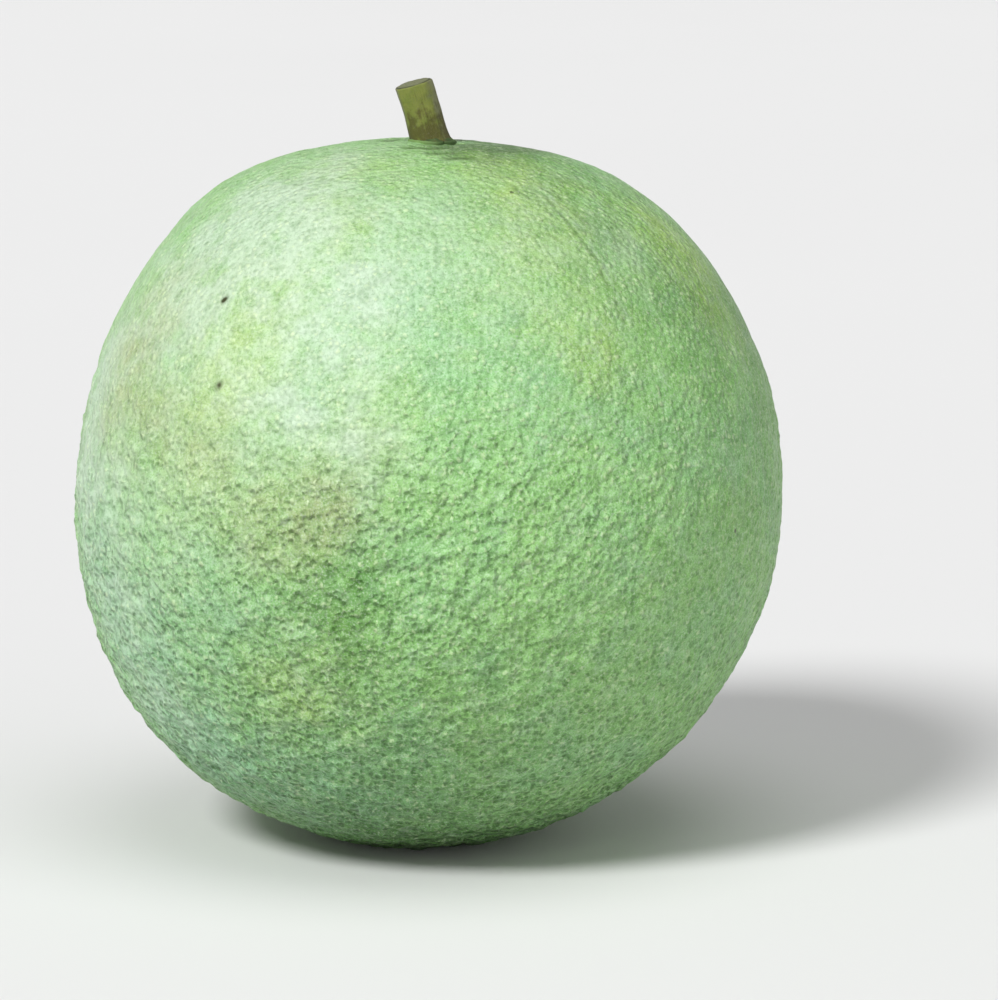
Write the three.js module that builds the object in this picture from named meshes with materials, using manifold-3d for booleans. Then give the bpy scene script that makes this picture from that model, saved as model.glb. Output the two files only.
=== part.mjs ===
// A whole pomelo, as picked: the thick-rinded fruit, the lobed green button at its crown and the short cut
// stem that stands on it. Millimetres, +Z up; the origin is the middle of the small flat that it rests on.
import * as THREE from "three";
import { mergeVertices } from "three/addons/utils/BufferGeometryUtils.js";
import Module from "manifold-3d";

const wasm = await Module();
wasm.setup();

// ---- Driving dimensions ----
const FRUIT_RADIUS = 76.1;
const BASE_FLATTENING = 1.9; // how far the foot of the fruit is pressed in where it rests
const BASE_ROUNDING = 0.5; // how softly that flat runs out into the side
const NET_DETAIL = 21; // each side of the icosahedron that carries the rind is cut into this many, plus one
const CROWN_CROWDING = 0.5; // how much closer together the net's points stand at the stem than elsewhere
const CROWN_CROWDING_REACH = 24; // degrees from the stem over which they spread out again

const STEM_DIAMETER = 7.8;
const STEM_LENGTH = 12.9; // along its own line, from the rind to the middle of the cut
const STEM_STANDS_AT = { azimuth: 0, latitude: 88.75 }; // on the fruit, just beside its top
const STEM_LEAN = 16.5; // degrees from upright
const STEM_LEANS_TOWARDS = 195; // azimuth in degrees, 0 along +X and 90 along +Y
const STEM_BOW = 0.15; // how far the middle of the stem stands off the straight line
const STEM_CUT_BEVEL = 0.4;
const STEM_SIDES = 32;
const STEM_RINGS = 12;

const BUTTON_RADIUS = 4.6; // to the notches between its lobes
const LOBE_REACH = 1.6; // how much further the largest lobe's tip comes out
const LOBE_COUNT = 5;
const LOBE_TURN = -12; // azimuth of the largest lobe, in degrees
const LOBE_EVENNESS = 0.6; // 1 where all the lobes are as long as the largest
const BUTTON_RIM = 0.7; // thickness of the button at its edge
const BUTTON_CROWN = 1.9; // its height where the stem comes out of it
const BUTTON_SIDES = 60;
const BUTTON_RINGS = 9;
const BUTTON_ROOT = 4; // how far below the rind the button is drawn, before the fruit is cut from it
const SEAM = 0.3; // the gap between one piece and the next

// The fruit is a ball with these long soft swellings (+) and hollows (-). Each is centred on an azimuth and a
// latitude in degrees, dies away over its spread in degrees, and has its height in millimetres.
const CROWN_HOLLOWS = [
  { name: "flattened crown", azimuth: 90, latitude: 90, spread: 18, height: -2.45 },
  { name: "pit round the stem", ...STEM_STANDS_AT, spread: 6, height: -0.6 },
];
const SHOULDERS = [
  { name: "left shoulder", azimuth: 182, latitude: 57, spread: 13, height: 1.6 },
  { name: "right shoulder", azimuth: -4, latitude: 50, spread: 13, height: 1.7 },
  { name: "far right shoulder", azimuth: 62, latitude: 52, spread: 13, height: 1.3 },
  { name: "far left shoulder", azimuth: 122, latitude: 50, spread: 13, height: 1.0 },
  { name: "near left shoulder", azimuth: 242, latitude: 52, spread: 13, height: 1.2 },
  { name: "near right shoulder", azimuth: 303, latitude: 50, spread: 13, height: 1.0 },
];
const CHEEKS = [
  { name: "left flat", azimuth: 180, latitude: 12, spread: 24, height: -2.9 },
  { name: "lower left cheek", azimuth: 186, latitude: -50, spread: 20, height: 1.3 },
  { name: "lower right cheek", azimuth: -8, latitude: -38, spread: 24, height: 0.3 },
  { name: "back cheek", azimuth: 84, latitude: -14, spread: 26, height: 1.1 },
  { name: "back left flat", azimuth: 132, latitude: 6, spread: 20, height: -0.9 },
  { name: "blossom end", azimuth: 90, latitude: -90, spread: 20, height: 0.4 },
];
const SWELLINGS = [...CROWN_HOLLOWS, ...SHOULDERS, ...CHEEKS];
const BLOSSOM_SCAR = { azimuth: 30, latitude: -82, spread: 1.7, height: -0.9 };

// The rind is uneven: long and short ripples cross it from all sides.
const RIPPLES = [
  { name: "long", wavelength: 34, height: 0.12, count: 7, turn: 0.4 },
  { name: "short", wavelength: 12, height: 0.05, count: 13, turn: 1.9 },
];

// ---- Small helpers ----
const radians = THREE.MathUtils.degToRad;

function towards(azimuth, latitude) {
  const [a, l] = [radians(azimuth), radians(latitude)];
  return new THREE.Vector3(Math.cos(l) * Math.cos(a), Math.cos(l) * Math.sin(a), Math.sin(l));
}

// The lesser of two lengths, rounded off where they are within a width of each other.
function softMinimum(a, b, width) {
  const near = Math.max(width - Math.abs(a - b), 0) / width;
  return Math.min(a, b) - (near * near * width) / 4;
}

// A closed mesh's solid, with its shared vertices merged.
function solidOf(geometry) {
  const bare = new THREE.BufferGeometry();
  bare.setAttribute("position", geometry.getAttribute("position"));
  bare.setIndex(geometry.index);
  const merged = mergeVertices(bare, 1e-4);
  return new wasm.Manifold(
    new wasm.Mesh({
      numProp: 3,
      vertProperties: merged.attributes.position.array,
      triVerts: new Uint32Array(merged.index.array),
    }),
  );
}

function geometryOf(solid) {
  const mesh = solid.getMesh();
  const geometry = new THREE.BufferGeometry();
  geometry.setAttribute("position", new THREE.BufferAttribute(mesh.vertProperties, 3));
  geometry.setIndex(new THREE.BufferAttribute(mesh.triVerts, 1));
  geometry.computeVertexNormals();
  return geometry;
}

// A solid of stacked rings, each a closed loop of points, with a flat or domed middle point at either end.
function stackOfRings(rings, bottom, top) {
  const sides = rings[0].length;
  const points = [bottom, ...rings.flat(), top];
  const faces = [];
  const at = (ring, side) => 1 + ring * sides + (side % sides);
  for (let side = 0; side < sides; side++) {
    faces.push(0, at(0, side + 1), at(0, side));
    for (let ring = 0; ring + 1 < rings.length; ring++) {
      faces.push(at(ring, side), at(ring, side + 1), at(ring + 1, side));
      faces.push(at(ring + 1, side), at(ring, side + 1), at(ring + 1, side + 1));
    }
    faces.push(at(rings.length - 1, side), at(rings.length - 1, side + 1), points.length - 1);
  }
  const geometry = new THREE.BufferGeometry().setFromPoints(points);
  return geometry.setIndex(faces);
}

// ---- The fruit ----
function swellingAt(direction, { azimuth, latitude, spread, height }) {
  const tightness = 1 / radians(spread) ** 2;
  return height * Math.exp(tightness * (direction.dot(towards(azimuth, latitude)) - 1));
}

// Plane waves that run through the ball, along directions spread evenly over it.
function rippleAt(direction, { wavelength, height, count, turn }) {
  const goldenAngle = Math.PI * (3 - Math.sqrt(5));
  const frequency = (2 * Math.PI * FRUIT_RADIUS) / wavelength;
  let sum = 0;
  for (let wave = 0; wave < count; wave++) {
    const z = 1 - (wave + 0.5) / count;
    const around = wave * goldenAngle + turn;
    const line = new THREE.Vector3(Math.cos(around), Math.sin(around), 0);
    line.multiplyScalar(Math.sqrt(1 - z * z)).setZ(z);
    sum += Math.sin(frequency * direction.dot(line) + wave * wave);
  }
  return (height * sum) / Math.sqrt(count / 2);
}

function freeRadius(direction) {
  const swollen = SWELLINGS.reduce((sum, s) => sum + swellingAt(direction, s), FRUIT_RADIUS);
  return RIPPLES.reduce((sum, r) => sum + rippleAt(direction, r), swollen);
}

const DOWN = new THREE.Vector3(0, 0, -1);
const CENTRE_HEIGHT = freeRadius(DOWN) - BASE_FLATTENING;

// The distance from the fruit's middle to its surface: the free shape, pressed flat where it meets z = 0.
function fruitRadius(direction) {
  const free = freeRadius(direction);
  const dip = direction.dot(DOWN);
  const pressed = dip > 0.5 ? softMinimum(free, CENTRE_HEIGHT / dip, BASE_ROUNDING) : free;
  return pressed + swellingAt(direction, BLOSSOM_SCAR);
}

// Draws a net point towards the stem, so that the points stand closer together there.
function crowdTowardsStem(direction) {
  const fromStem = Math.acos(THREE.MathUtils.clamp(direction.z, -1, 1));
  const near = Math.exp(-((fromStem / radians(CROWN_CROWDING_REACH)) ** 2));
  const moved = fromStem * (1 - CROWN_CROWDING * near);
  const around = Math.atan2(direction.y, direction.x);
  direction.set(Math.sin(moved) * Math.cos(around), Math.sin(moved) * Math.sin(around), Math.cos(moved));
}

function fruitGeometry(outset = 0) {
  const net = new THREE.IcosahedronGeometry(1, NET_DETAIL);
  net.deleteAttribute("normal");
  net.deleteAttribute("uv");
  const geometry = mergeVertices(net, 1e-5);
  const position = geometry.getAttribute("position");
  const point = new THREE.Vector3();
  for (let i = 0; i < position.count; i++) {
    point.fromBufferAttribute(position, i).normalize();
    crowdTowardsStem(point);
    point.multiplyScalar(fruitRadius(point) + outset);
    position.setXYZ(i, point.x, point.y, point.z + CENTRE_HEIGHT);
  }
  geometry.computeVertexNormals();
  return geometry;
}

// ---- The stem's place and line ----
const UP = new THREE.Vector3(0, 0, 1);
const STEM_LINE = towards(STEM_LEANS_TOWARDS, 90 - STEM_LEAN);
const STEM_DIRECTION = towards(STEM_STANDS_AT.azimuth, STEM_STANDS_AT.latitude);
const STEM_FOOT = STEM_DIRECTION.clone().multiplyScalar(fruitRadius(STEM_DIRECTION));
STEM_FOOT.z += CENTRE_HEIGHT;

// Moves a piece drawn round the origin to the stem's foot, upright as drawn.
function standOnCrown(geometry) {
  return geometry.translate(STEM_FOOT.x, STEM_FOOT.y, STEM_FOOT.z);
}

// The same, but leaning as the stem does.
function leanOnCrown(geometry) {
  geometry.applyQuaternion(new THREE.Quaternion().setFromUnitVectors(UP, STEM_LINE));
  return standOnCrown(geometry);
}

// How far the stem's middle line stands off the straight at a height along it.
function stemBow(height) {
  return STEM_BOW * Math.sin((Math.PI * height) / STEM_LENGTH);
}

// The stem is not quite round: three low ridges and some fine ribs run up it.
function stemRadius(around, height) {
  const ridges = 0.03 * Math.cos(3 * around + 0.6) + 0.02 * Math.cos(8 * around + 1.1);
  const waist = 0.005 * Math.cos((2 * Math.PI * height) / STEM_LENGTH);
  return (STEM_DIAMETER / 2) * (1 + ridges + waist);
}

function ringOf(sides, height, radiusAt, offset = 0) {
  return Array.from({ length: sides }, (_, side) => {
    const around = (2 * Math.PI * side) / sides;
    const radius = radiusAt(around);
    return new THREE.Vector3(offset + radius * Math.cos(around), radius * Math.sin(around), height);
  });
}

// ---- The stem: a cut length of green wood ----
function stemGeometry() {
  const foot = BUTTON_CROWN + SEAM;
  const shoulder = STEM_LENGTH - STEM_CUT_BEVEL;
  const rings = Array.from({ length: STEM_RINGS }, (_, ring) => {
    const height = THREE.MathUtils.lerp(foot, shoulder, ring / (STEM_RINGS - 1));
    return ringOf(STEM_SIDES, height, (around) => stemRadius(around, height), stemBow(height));
  });
  const bevelled = (around) => stemRadius(around, STEM_LENGTH) - STEM_CUT_BEVEL;
  rings.push(ringOf(STEM_SIDES, STEM_LENGTH, bevelled, stemBow(STEM_LENGTH)));
  const bottom = new THREE.Vector3(stemBow(foot), 0, foot);
  const top = new THREE.Vector3(stemBow(STEM_LENGTH), 0, STEM_LENGTH);
  return leanOnCrown(stackOfRings(rings, bottom, top));
}

// ---- The button: the sepals' lobed disc, rising to a neck under the stem ----
function buttonEdge(around) {
  const fromLargest = around - radians(LOBE_TURN);
  const lobe = Math.abs(Math.cos((LOBE_COUNT * fromLargest) / 2));
  const size = LOBE_EVENNESS + (1 - LOBE_EVENNESS) * Math.cos(fromLargest);
  return BUTTON_RADIUS + LOBE_REACH * size * lobe ** 0.8;
}

function buttonDisc() {
  const neck = STEM_DIAMETER / 2;
  const rings = [];
  const height = (share) => BUTTON_RIM + (BUTTON_CROWN - BUTTON_RIM) * (1 - share) ** 2.4;
  rings.push(ringOf(BUTTON_SIDES, -BUTTON_ROOT, buttonEdge));
  for (let ring = 0; ring < BUTTON_RINGS; ring++) {
    const share = 1 - ring / (BUTTON_RINGS - 1);
    const radius = (around) => THREE.MathUtils.lerp(neck, buttonEdge(around), share);
    rings.push(ringOf(BUTTON_SIDES, height(share), radius));
  }
  const bottom = new THREE.Vector3(0, 0, -BUTTON_ROOT);
  const top = new THREE.Vector3(0, 0, BUTTON_CROWN);
  return standOnCrown(stackOfRings(rings, bottom, top));
}

function buttonNeck() {
  const radius = (around) => stemRadius(around, BUTTON_CROWN);
  const rings = [-BUTTON_ROOT, BUTTON_CROWN].map((height) => ringOf(STEM_SIDES, height, radius, stemBow(height)));
  const bottom = new THREE.Vector3(stemBow(-BUTTON_ROOT), 0, -BUTTON_ROOT);
  const top = new THREE.Vector3(stemBow(BUTTON_CROWN), 0, BUTTON_CROWN);
  return leanOnCrown(stackOfRings(rings, bottom, top));
}

// All that stands above the neck's top, so that the stem has a clean seat.
function aboveNeck() {
  const side = 4 * BUTTON_RADIUS;
  const block = new THREE.BoxGeometry(side, side, side).translate(0, 0, BUTTON_CROWN + side / 2);
  return leanOnCrown(block);
}

function buttonGeometry() {
  const whole = solidOf(buttonDisc()).add(solidOf(buttonNeck())).subtract(solidOf(aboveNeck()));
  return geometryOf(whole.subtract(solidOf(fruitGeometry(SEAM))));
}

// ---- The whole pomelo ----
function piece(name, geometry, color, roughness) {
  const material = new THREE.MeshStandardMaterial({ color, roughness, metalness: 0 });
  const mesh = new THREE.Mesh(geometry, material);
  mesh.name = name;
  return mesh;
}

const pomelo = new THREE.Group();
pomelo.name = "pomelo";
pomelo.add(
  piece("fruit", fruitGeometry(), 0xa9cf92, 0.5),
  piece("calyx_button", buttonGeometry(), 0x4f6b33, 0.75),
  piece("stem", stemGeometry(), 0x7d8046, 0.8),
);

export default pomelo;
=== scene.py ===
"""A whole pomelo, resting on a pale studio floor.

The pebbled rind, the lobed green button and the cut stem each grow from a Geometry Nodes tree with named
sizes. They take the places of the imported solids, and keep their forms. Lengths are in metres and angles in
degrees, except where a comment says otherwise.
"""

import logging
import math
from dataclasses import dataclass, field
from enum import Enum
from typing import Iterable, Optional, Sequence, Union

import bpy
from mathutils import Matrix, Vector


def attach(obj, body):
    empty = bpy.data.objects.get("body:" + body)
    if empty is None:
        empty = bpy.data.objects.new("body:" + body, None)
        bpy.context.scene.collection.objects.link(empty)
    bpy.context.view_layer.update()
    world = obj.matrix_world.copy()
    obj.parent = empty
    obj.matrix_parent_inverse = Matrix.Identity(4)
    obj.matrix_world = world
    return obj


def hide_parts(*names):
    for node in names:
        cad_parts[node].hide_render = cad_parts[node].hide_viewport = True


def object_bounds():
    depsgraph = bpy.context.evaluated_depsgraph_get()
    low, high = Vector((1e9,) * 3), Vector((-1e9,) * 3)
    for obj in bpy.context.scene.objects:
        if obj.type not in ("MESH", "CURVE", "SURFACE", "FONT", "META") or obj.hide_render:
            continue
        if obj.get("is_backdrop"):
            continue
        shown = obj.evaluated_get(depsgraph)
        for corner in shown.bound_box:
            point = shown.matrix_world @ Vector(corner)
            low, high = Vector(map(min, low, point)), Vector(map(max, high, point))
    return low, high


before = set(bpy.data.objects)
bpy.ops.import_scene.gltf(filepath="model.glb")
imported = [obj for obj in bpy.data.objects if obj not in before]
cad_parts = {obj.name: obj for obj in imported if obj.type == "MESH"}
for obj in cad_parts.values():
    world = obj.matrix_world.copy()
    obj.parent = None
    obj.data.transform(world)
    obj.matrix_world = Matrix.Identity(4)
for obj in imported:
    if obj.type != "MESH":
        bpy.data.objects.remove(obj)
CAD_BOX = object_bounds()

LOG = logging.getLogger("pomelo")
MM = 0.001
PICTURE_SIZE = (998, 1000)

Colour = tuple[float, float, float]
Feed = Union["Wire", float, int, bool, str, Sequence[float], bpy.types.Material]


# Node trees as arithmetic


class Kept(Enum):
    """The vectors that a piece keeps at its points, for its finish to read."""

    GRAIN = "grain"
    EDGE = "edge"
    FOLDS = "folds"
    FIRST_TINTS = "first tints"
    OTHER_TINTS = "other tints"


class Graph:
    """A node tree under construction, with one short call for each kind of node it uses."""

    def __init__(self, tree: bpy.types.NodeTree) -> None:
        """Starts drawing in a tree.

        Args:
            tree: The shader or geometry tree that the nodes go into.
        """
        self.tree = tree

    def node(self, kind: str, **settings: object) -> bpy.types.Node:
        """Adds a node.

        Args:
            kind: Blender's name of the node type.
            settings: Properties to set on the node.

        Returns:
            The new node.
        """
        made = self.tree.nodes.new(kind)
        for name, value in settings.items():
            setattr(made, name, value)
        return made

    def feed(self, socket: bpy.types.NodeSocket, value: Feed) -> None:
        """Links a wire to an input, or sets the input to a plain value.

        Args:
            socket: The input.
            value: The wire or the plain value.
        """
        if isinstance(value, Wire):
            self.tree.links.new(value.socket, socket)
        else:
            socket.default_value = value

    def wire(self, node: bpy.types.Node, output: Union[int, str] = 0) -> "Wire":
        """The wire that leaves one of a node's outputs."""
        return Wire(self, node.outputs[output])

    def math(self, operation: str, *values: Feed) -> "Wire":
        """A Math node on numbers.

        Args:
            operation: The node's operation, such as "ADD".
            values: What its inputs get, in order.

        Returns:
            The result.
        """
        made = self.node("ShaderNodeMath", operation=operation)
        for socket, value in zip(made.inputs, values):
            self.feed(socket, value)
        return self.wire(made)

    def vector_math(self, operation: str, *values: Feed) -> "Wire":
        """A Vector Math node.

        Args:
            operation: The node's operation, such as "NORMALIZE" or "DOT_PRODUCT".
            values: What its vector inputs get, in order.

        Returns:
            The result, a number for a dot product and a vector otherwise.
        """
        made = self.node("ShaderNodeVectorMath", operation=operation)
        for socket, value in zip(made.inputs, values):
            self.feed(socket, value)
        return self.wire(made, "Value" if operation == "DOT_PRODUCT" else "Vector")

    def combine(self, x: Feed, y: Feed, z: Feed) -> "Wire":
        """Makes a vector of three numbers.

        Args:
            x: Its first number.
            y: Its second number.
            z: Its third number.

        Returns:
            The vector.
        """
        made = self.node("ShaderNodeCombineXYZ")
        for socket, value in zip(made.inputs, (x, y, z)):
            self.feed(socket, value)
        return self.wire(made)

    def ramp(self, value: Feed, start: Feed, end: Feed, low: Feed = 0.0, high: Feed = 1.0) -> "Wire":
        """A smooth step.

        Args:
            value: The number that drives it.
            start: Where the step starts.
            end: Where it ends.
            low: The result up to the start.
            high: The result from the end on.

        Returns:
            The stepped number.
        """
        made = self.node("ShaderNodeMapRange", interpolation_type="SMOOTHSTEP")
        feeds = {"Value": value, "From Min": start, "From Max": end, "To Min": low, "To Max": high}
        for name, fed in feeds.items():
            self.feed(made.inputs[name], fed)
        return self.wire(made)

    def noise(
        self, place: Feed, period: float, detail: float = 2.0, roughness: float = 0.5, seed: float = 0.0
    ) -> "Wire":
        """Cloudy noise, centred on 0.5.

        Args:
            place: The point that it is read at.
            period: The size of its largest features.
            detail: How many finer octaves it has.
            roughness: How strong the finer octaves are.
            seed: A number that gives another pattern.

        Returns:
            The noise's value.
        """
        made = self.node("ShaderNodeTexNoise", noise_dimensions="4D", noise_type="FBM")
        fed = {"Vector": place, "W": seed, "Scale": 1 / period, "Detail": detail, "Roughness": roughness}
        for name, value in fed.items():
            self.feed(made.inputs[name], value)
        return self.wire(made)

    def cells(self, place: Feed, period: float, spread: float) -> bpy.types.Node:
        """A pattern of irregular cells.

        Args:
            place: The point that it is read at.
            period: The usual distance between two cells' middles.
            spread: How irregular the cells are, from 0 to 1.

        Returns:
            The node, which gives the distance to the cell's middle, that middle and a random colour.
        """
        made = self.node("ShaderNodeTexVoronoi", feature="F1")
        self.feed(made.inputs["Vector"], place)
        self.feed(made.inputs["Scale"], 1 / period)
        self.feed(made.inputs["Randomness"], spread)
        return made

    def first_number(self, colour: Feed) -> "Wire":
        """Reads a random colour as a random number.

        Args:
            colour: The colour.

        Returns:
            Its red share, from 0 to 1.
        """
        made = self.node("ShaderNodeSeparateColor")
        self.feed(made.inputs[0], colour)
        return self.wire(made)

    def blend(self, amount: Feed, first: Feed, second: Feed) -> "Wire":
        """Mixes two colours.

        Args:
            amount: How much of the second shows, from 0 to 1.
            first: The colour underneath.
            second: The colour laid on it.

        Returns:
            The mixed colour.
        """
        made = self.node("ShaderNodeMix", data_type="RGBA", blend_type="MIX", clamp_factor=True)
        self.feed(made.inputs["Factor"], amount)
        for name, value in (("A_Color", first), ("B_Color", second)):
            socket = next(s for s in made.inputs if s.identifier == name)
            self.feed(socket, value if isinstance(value, Wire) else (*value, 1.0))
        return Wire(self, next(s for s in made.outputs if s.type == "RGBA"))


@dataclass(frozen=True)
class Wire:
    """A value on its way through a node tree. Python's arithmetic on it adds the nodes that do the sum."""

    graph: Graph
    socket: bpy.types.NodeSocket

    def _is_vector(self) -> bool:
        """True for a vector, False for a number."""
        return self.socket.type == "VECTOR"

    def __add__(self, other: Feed) -> "Wire":
        """This plus another number or vector."""
        return (self.graph.vector_math if self._is_vector() else self.graph.math)("ADD", self, other)

    def __sub__(self, other: Feed) -> "Wire":
        """This less another number or vector."""
        return (self.graph.vector_math if self._is_vector() else self.graph.math)("SUBTRACT", self, other)

    def __rsub__(self, other: Feed) -> "Wire":
        """Another number less this."""
        return self.graph.math("SUBTRACT", other, self)

    def __mul__(self, other: Feed) -> "Wire":
        """This times a number.

        Args:
            other: The number.

        Returns:
            The product, a vector if this is one.
        """
        if not self._is_vector():
            return self.graph.math("MULTIPLY", self, other)
        made = self.graph.node("ShaderNodeVectorMath", operation="SCALE")
        self.graph.feed(made.inputs[0], self)
        self.graph.feed(made.inputs["Scale"], other)
        return self.graph.wire(made, "Vector")

    def __truediv__(self, other: Feed) -> "Wire":
        """This divided by a number."""
        return self.graph.math("DIVIDE", self, other)

    def __neg__(self) -> "Wire":
        """This with its sign turned."""
        return self * -1.0

    def __pow__(self, power: Feed) -> "Wire":
        """This to a power."""
        return self.graph.math("POWER", self, power)

    def dot(self, other: Feed) -> "Wire":
        """The dot product with another vector."""
        return self.graph.vector_math("DOT_PRODUCT", self, other)

    def exp(self) -> "Wire":
        """The exponential of this number."""
        return self.graph.math("EXPONENT", self)

    def sine(self) -> "Wire":
        """The sine of this angle, in radians."""
        return self.graph.math("SINE", self)

    def cosine(self) -> "Wire":
        """The cosine of this angle, in radians."""
        return self.graph.math("COSINE", self)

    def absolute(self) -> "Wire":
        """This without its sign."""
        return self.graph.math("ABSOLUTE", self)

    def at_least(self, lowest: Feed) -> "Wire":
        """The larger of this and another number."""
        return self.graph.math("MAXIMUM", self, lowest)

    def at_most(self, highest: Feed) -> "Wire":
        """The smaller of this and another number."""
        return self.graph.math("MINIMUM", self, highest)

    def unit(self) -> "Wire":
        """This vector's direction, at length 1."""
        return self.graph.vector_math("NORMALIZE", self)

    def parts(self) -> tuple["Wire", "Wire", "Wire"]:
        """Takes this vector apart.

        Returns:
            Its three numbers.
        """
        made = self.graph.node("ShaderNodeSeparateXYZ")
        self.graph.feed(made.inputs[0], self)
        return tuple(self.graph.wire(made, axis) for axis in range(3))

    def times(self, other: Sequence[float]) -> "Wire":
        """This vector with each of its numbers multiplied by its own factor."""
        return self.graph.vector_math("MULTIPLY", self, other)


class Grower(Graph):
    """A Geometry Nodes tree that grows one piece from named sizes."""

    SOCKETS = {float: "NodeSocketFloat", int: "NodeSocketInt", bpy.types.Material: "NodeSocketMaterial"}

    def __init__(self, name: str) -> None:
        """Starts an empty tree with a mesh output.

        Args:
            name: The tree's name.
        """
        super().__init__(bpy.data.node_groups.new(name, "GeometryNodeTree"))
        self.tree.interface.new_socket("Mesh", in_out="OUTPUT", socket_type="NodeSocketGeometry")
        self.entry = self.node("NodeGroupInput")
        self.values: dict[str, Feed] = {}

    def size(self, name: str, value: Union[float, int, bpy.types.Material]) -> Wire:
        """Adds a named input.

        Args:
            name: The input's name.
            value: What the piece gives it.

        Returns:
            The wire that carries it.
        """
        kind = next(socket for plain, socket in self.SOCKETS.items() if isinstance(value, plain))
        item = self.tree.interface.new_socket(name, in_out="INPUT", socket_type=kind)
        self.values[item.identifier] = value
        return self.wire(self.entry, name)

    def position(self) -> Wire:
        """Each point's own position."""
        return self.wire(self.node("GeometryNodeInputPosition"))

    def cylinder(self, sides: int, side_rows: int, cap_rings: int) -> Wire:
        """A cylinder of radius 1 and height 1 whose caps are divided into rings.

        Args:
            sides: How many sides it has round its axis.
            side_rows: How many rows of faces its wall has.
            cap_rings: How many rings of faces each cap has.

        Returns:
            The mesh.
        """
        made = self.node("GeometryNodeMeshCylinder", fill_type="TRIANGLE_FAN")
        counts = {"Vertices": sides, "Side Segments": side_rows, "Fill Segments": cap_rings}
        for name, value in (counts | {"Radius": 1.0, "Depth": 1.0}).items():
            self.feed(made.inputs[name], value)
        return self.wire(made, "Mesh")

    def move(self, mesh: Wire, position: Wire) -> Wire:
        """Puts a mesh's points at new positions.

        Args:
            mesh: The mesh.
            position: Where each point goes.

        Returns:
            The moved mesh.
        """
        made = self.node("GeometryNodeSetPosition")
        self.feed(made.inputs["Geometry"], mesh)
        self.feed(made.inputs["Position"], position)
        return self.wire(made)

    def note(self, mesh: Wire, kept: Kept, value: Wire) -> Wire:
        """Keeps a vector at each point of a mesh, for its finish to read.

        Args:
            mesh: The mesh.
            kept: The attribute that it is kept in.
            value: What is kept.

        Returns:
            The mesh with the attribute.
        """
        made = self.node("GeometryNodeStoreNamedAttribute", data_type="FLOAT_VECTOR", domain="POINT")
        for socket, fed in (("Geometry", mesh), ("Name", kept.value), ("Value", value)):
            self.feed(made.inputs[socket], fed)
        return self.wire(made)

    def grow(self, name: str, mesh: Wire, material: Wire) -> bpy.types.Object:
        """Ends the tree, runs it once and keeps what it grew as a plain mesh.

        Args:
            name: The piece's name.
            mesh: The geometry that the tree ends with.
            material: The input that carries its finish.

        Returns:
            The piece, with no modifier left on it.
        """
        smooth = self.node("GeometryNodeSetShadeSmooth")
        realized = self.node("GeometryNodeRealizeInstances")
        dressed = self.node("GeometryNodeSetMaterial")
        end = self.node("NodeGroupOutput")
        self.feed(smooth.inputs["Geometry"], mesh)
        self.feed(realized.inputs["Geometry"], self.wire(smooth))
        self.feed(dressed.inputs["Geometry"], self.wire(realized))
        self.feed(dressed.inputs["Material"], material)
        self.feed(end.inputs["Mesh"], self.wire(dressed))
        piece = bpy.data.objects.new(name, bpy.data.meshes.new(name))
        bpy.context.scene.collection.objects.link(piece)
        modifier = piece.modifiers.new("Grow", "NODES")
        modifier.node_group = self.tree
        for identifier, value in self.values.items():
            modifier[identifier] = value
        evaluated = bpy.context.evaluated_depsgraph_get()
        grown = bpy.data.meshes.new_from_object(piece.evaluated_get(evaluated))
        piece.modifiers.remove(modifier)
        piece.data = grown
        grown.name = name
        return piece


# The fruit's form


def towards(azimuth: float, latitude: float) -> Vector:
    """A unit vector.

    Args:
        azimuth: Its angle round from +X towards +Y.
        latitude: Its angle up from level.

    Returns:
        The vector.
    """
    a, b = math.radians(azimuth), math.radians(latitude)
    return Vector((math.cos(b) * math.cos(a), math.cos(b) * math.sin(a), math.sin(b)))


@dataclass(frozen=True)
class Swelling:
    """A long soft rise (+) or hollow (-) of the fruit, centred on one direction."""

    name: str
    azimuth: float
    latitude: float
    spread: float
    height: float

    def middle(self) -> Vector:
        """The direction that it is centred on."""
        return towards(self.azimuth, self.latitude)

    def tightness(self) -> float:
        """How fast it dies away with the direction's cosine."""
        return 1 / math.radians(self.spread) ** 2

    def at(self, direction: Vector) -> float:
        """Its height in a direction."""
        return self.height * math.exp(self.tightness() * (direction.dot(self.middle()) - 1))

    def wire(self, direction: Wire) -> Wire:
        """The same, as nodes."""
        fall = (direction.dot(self.middle()) - 1.0) * self.tightness()
        return fall.exp() * self.height


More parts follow.
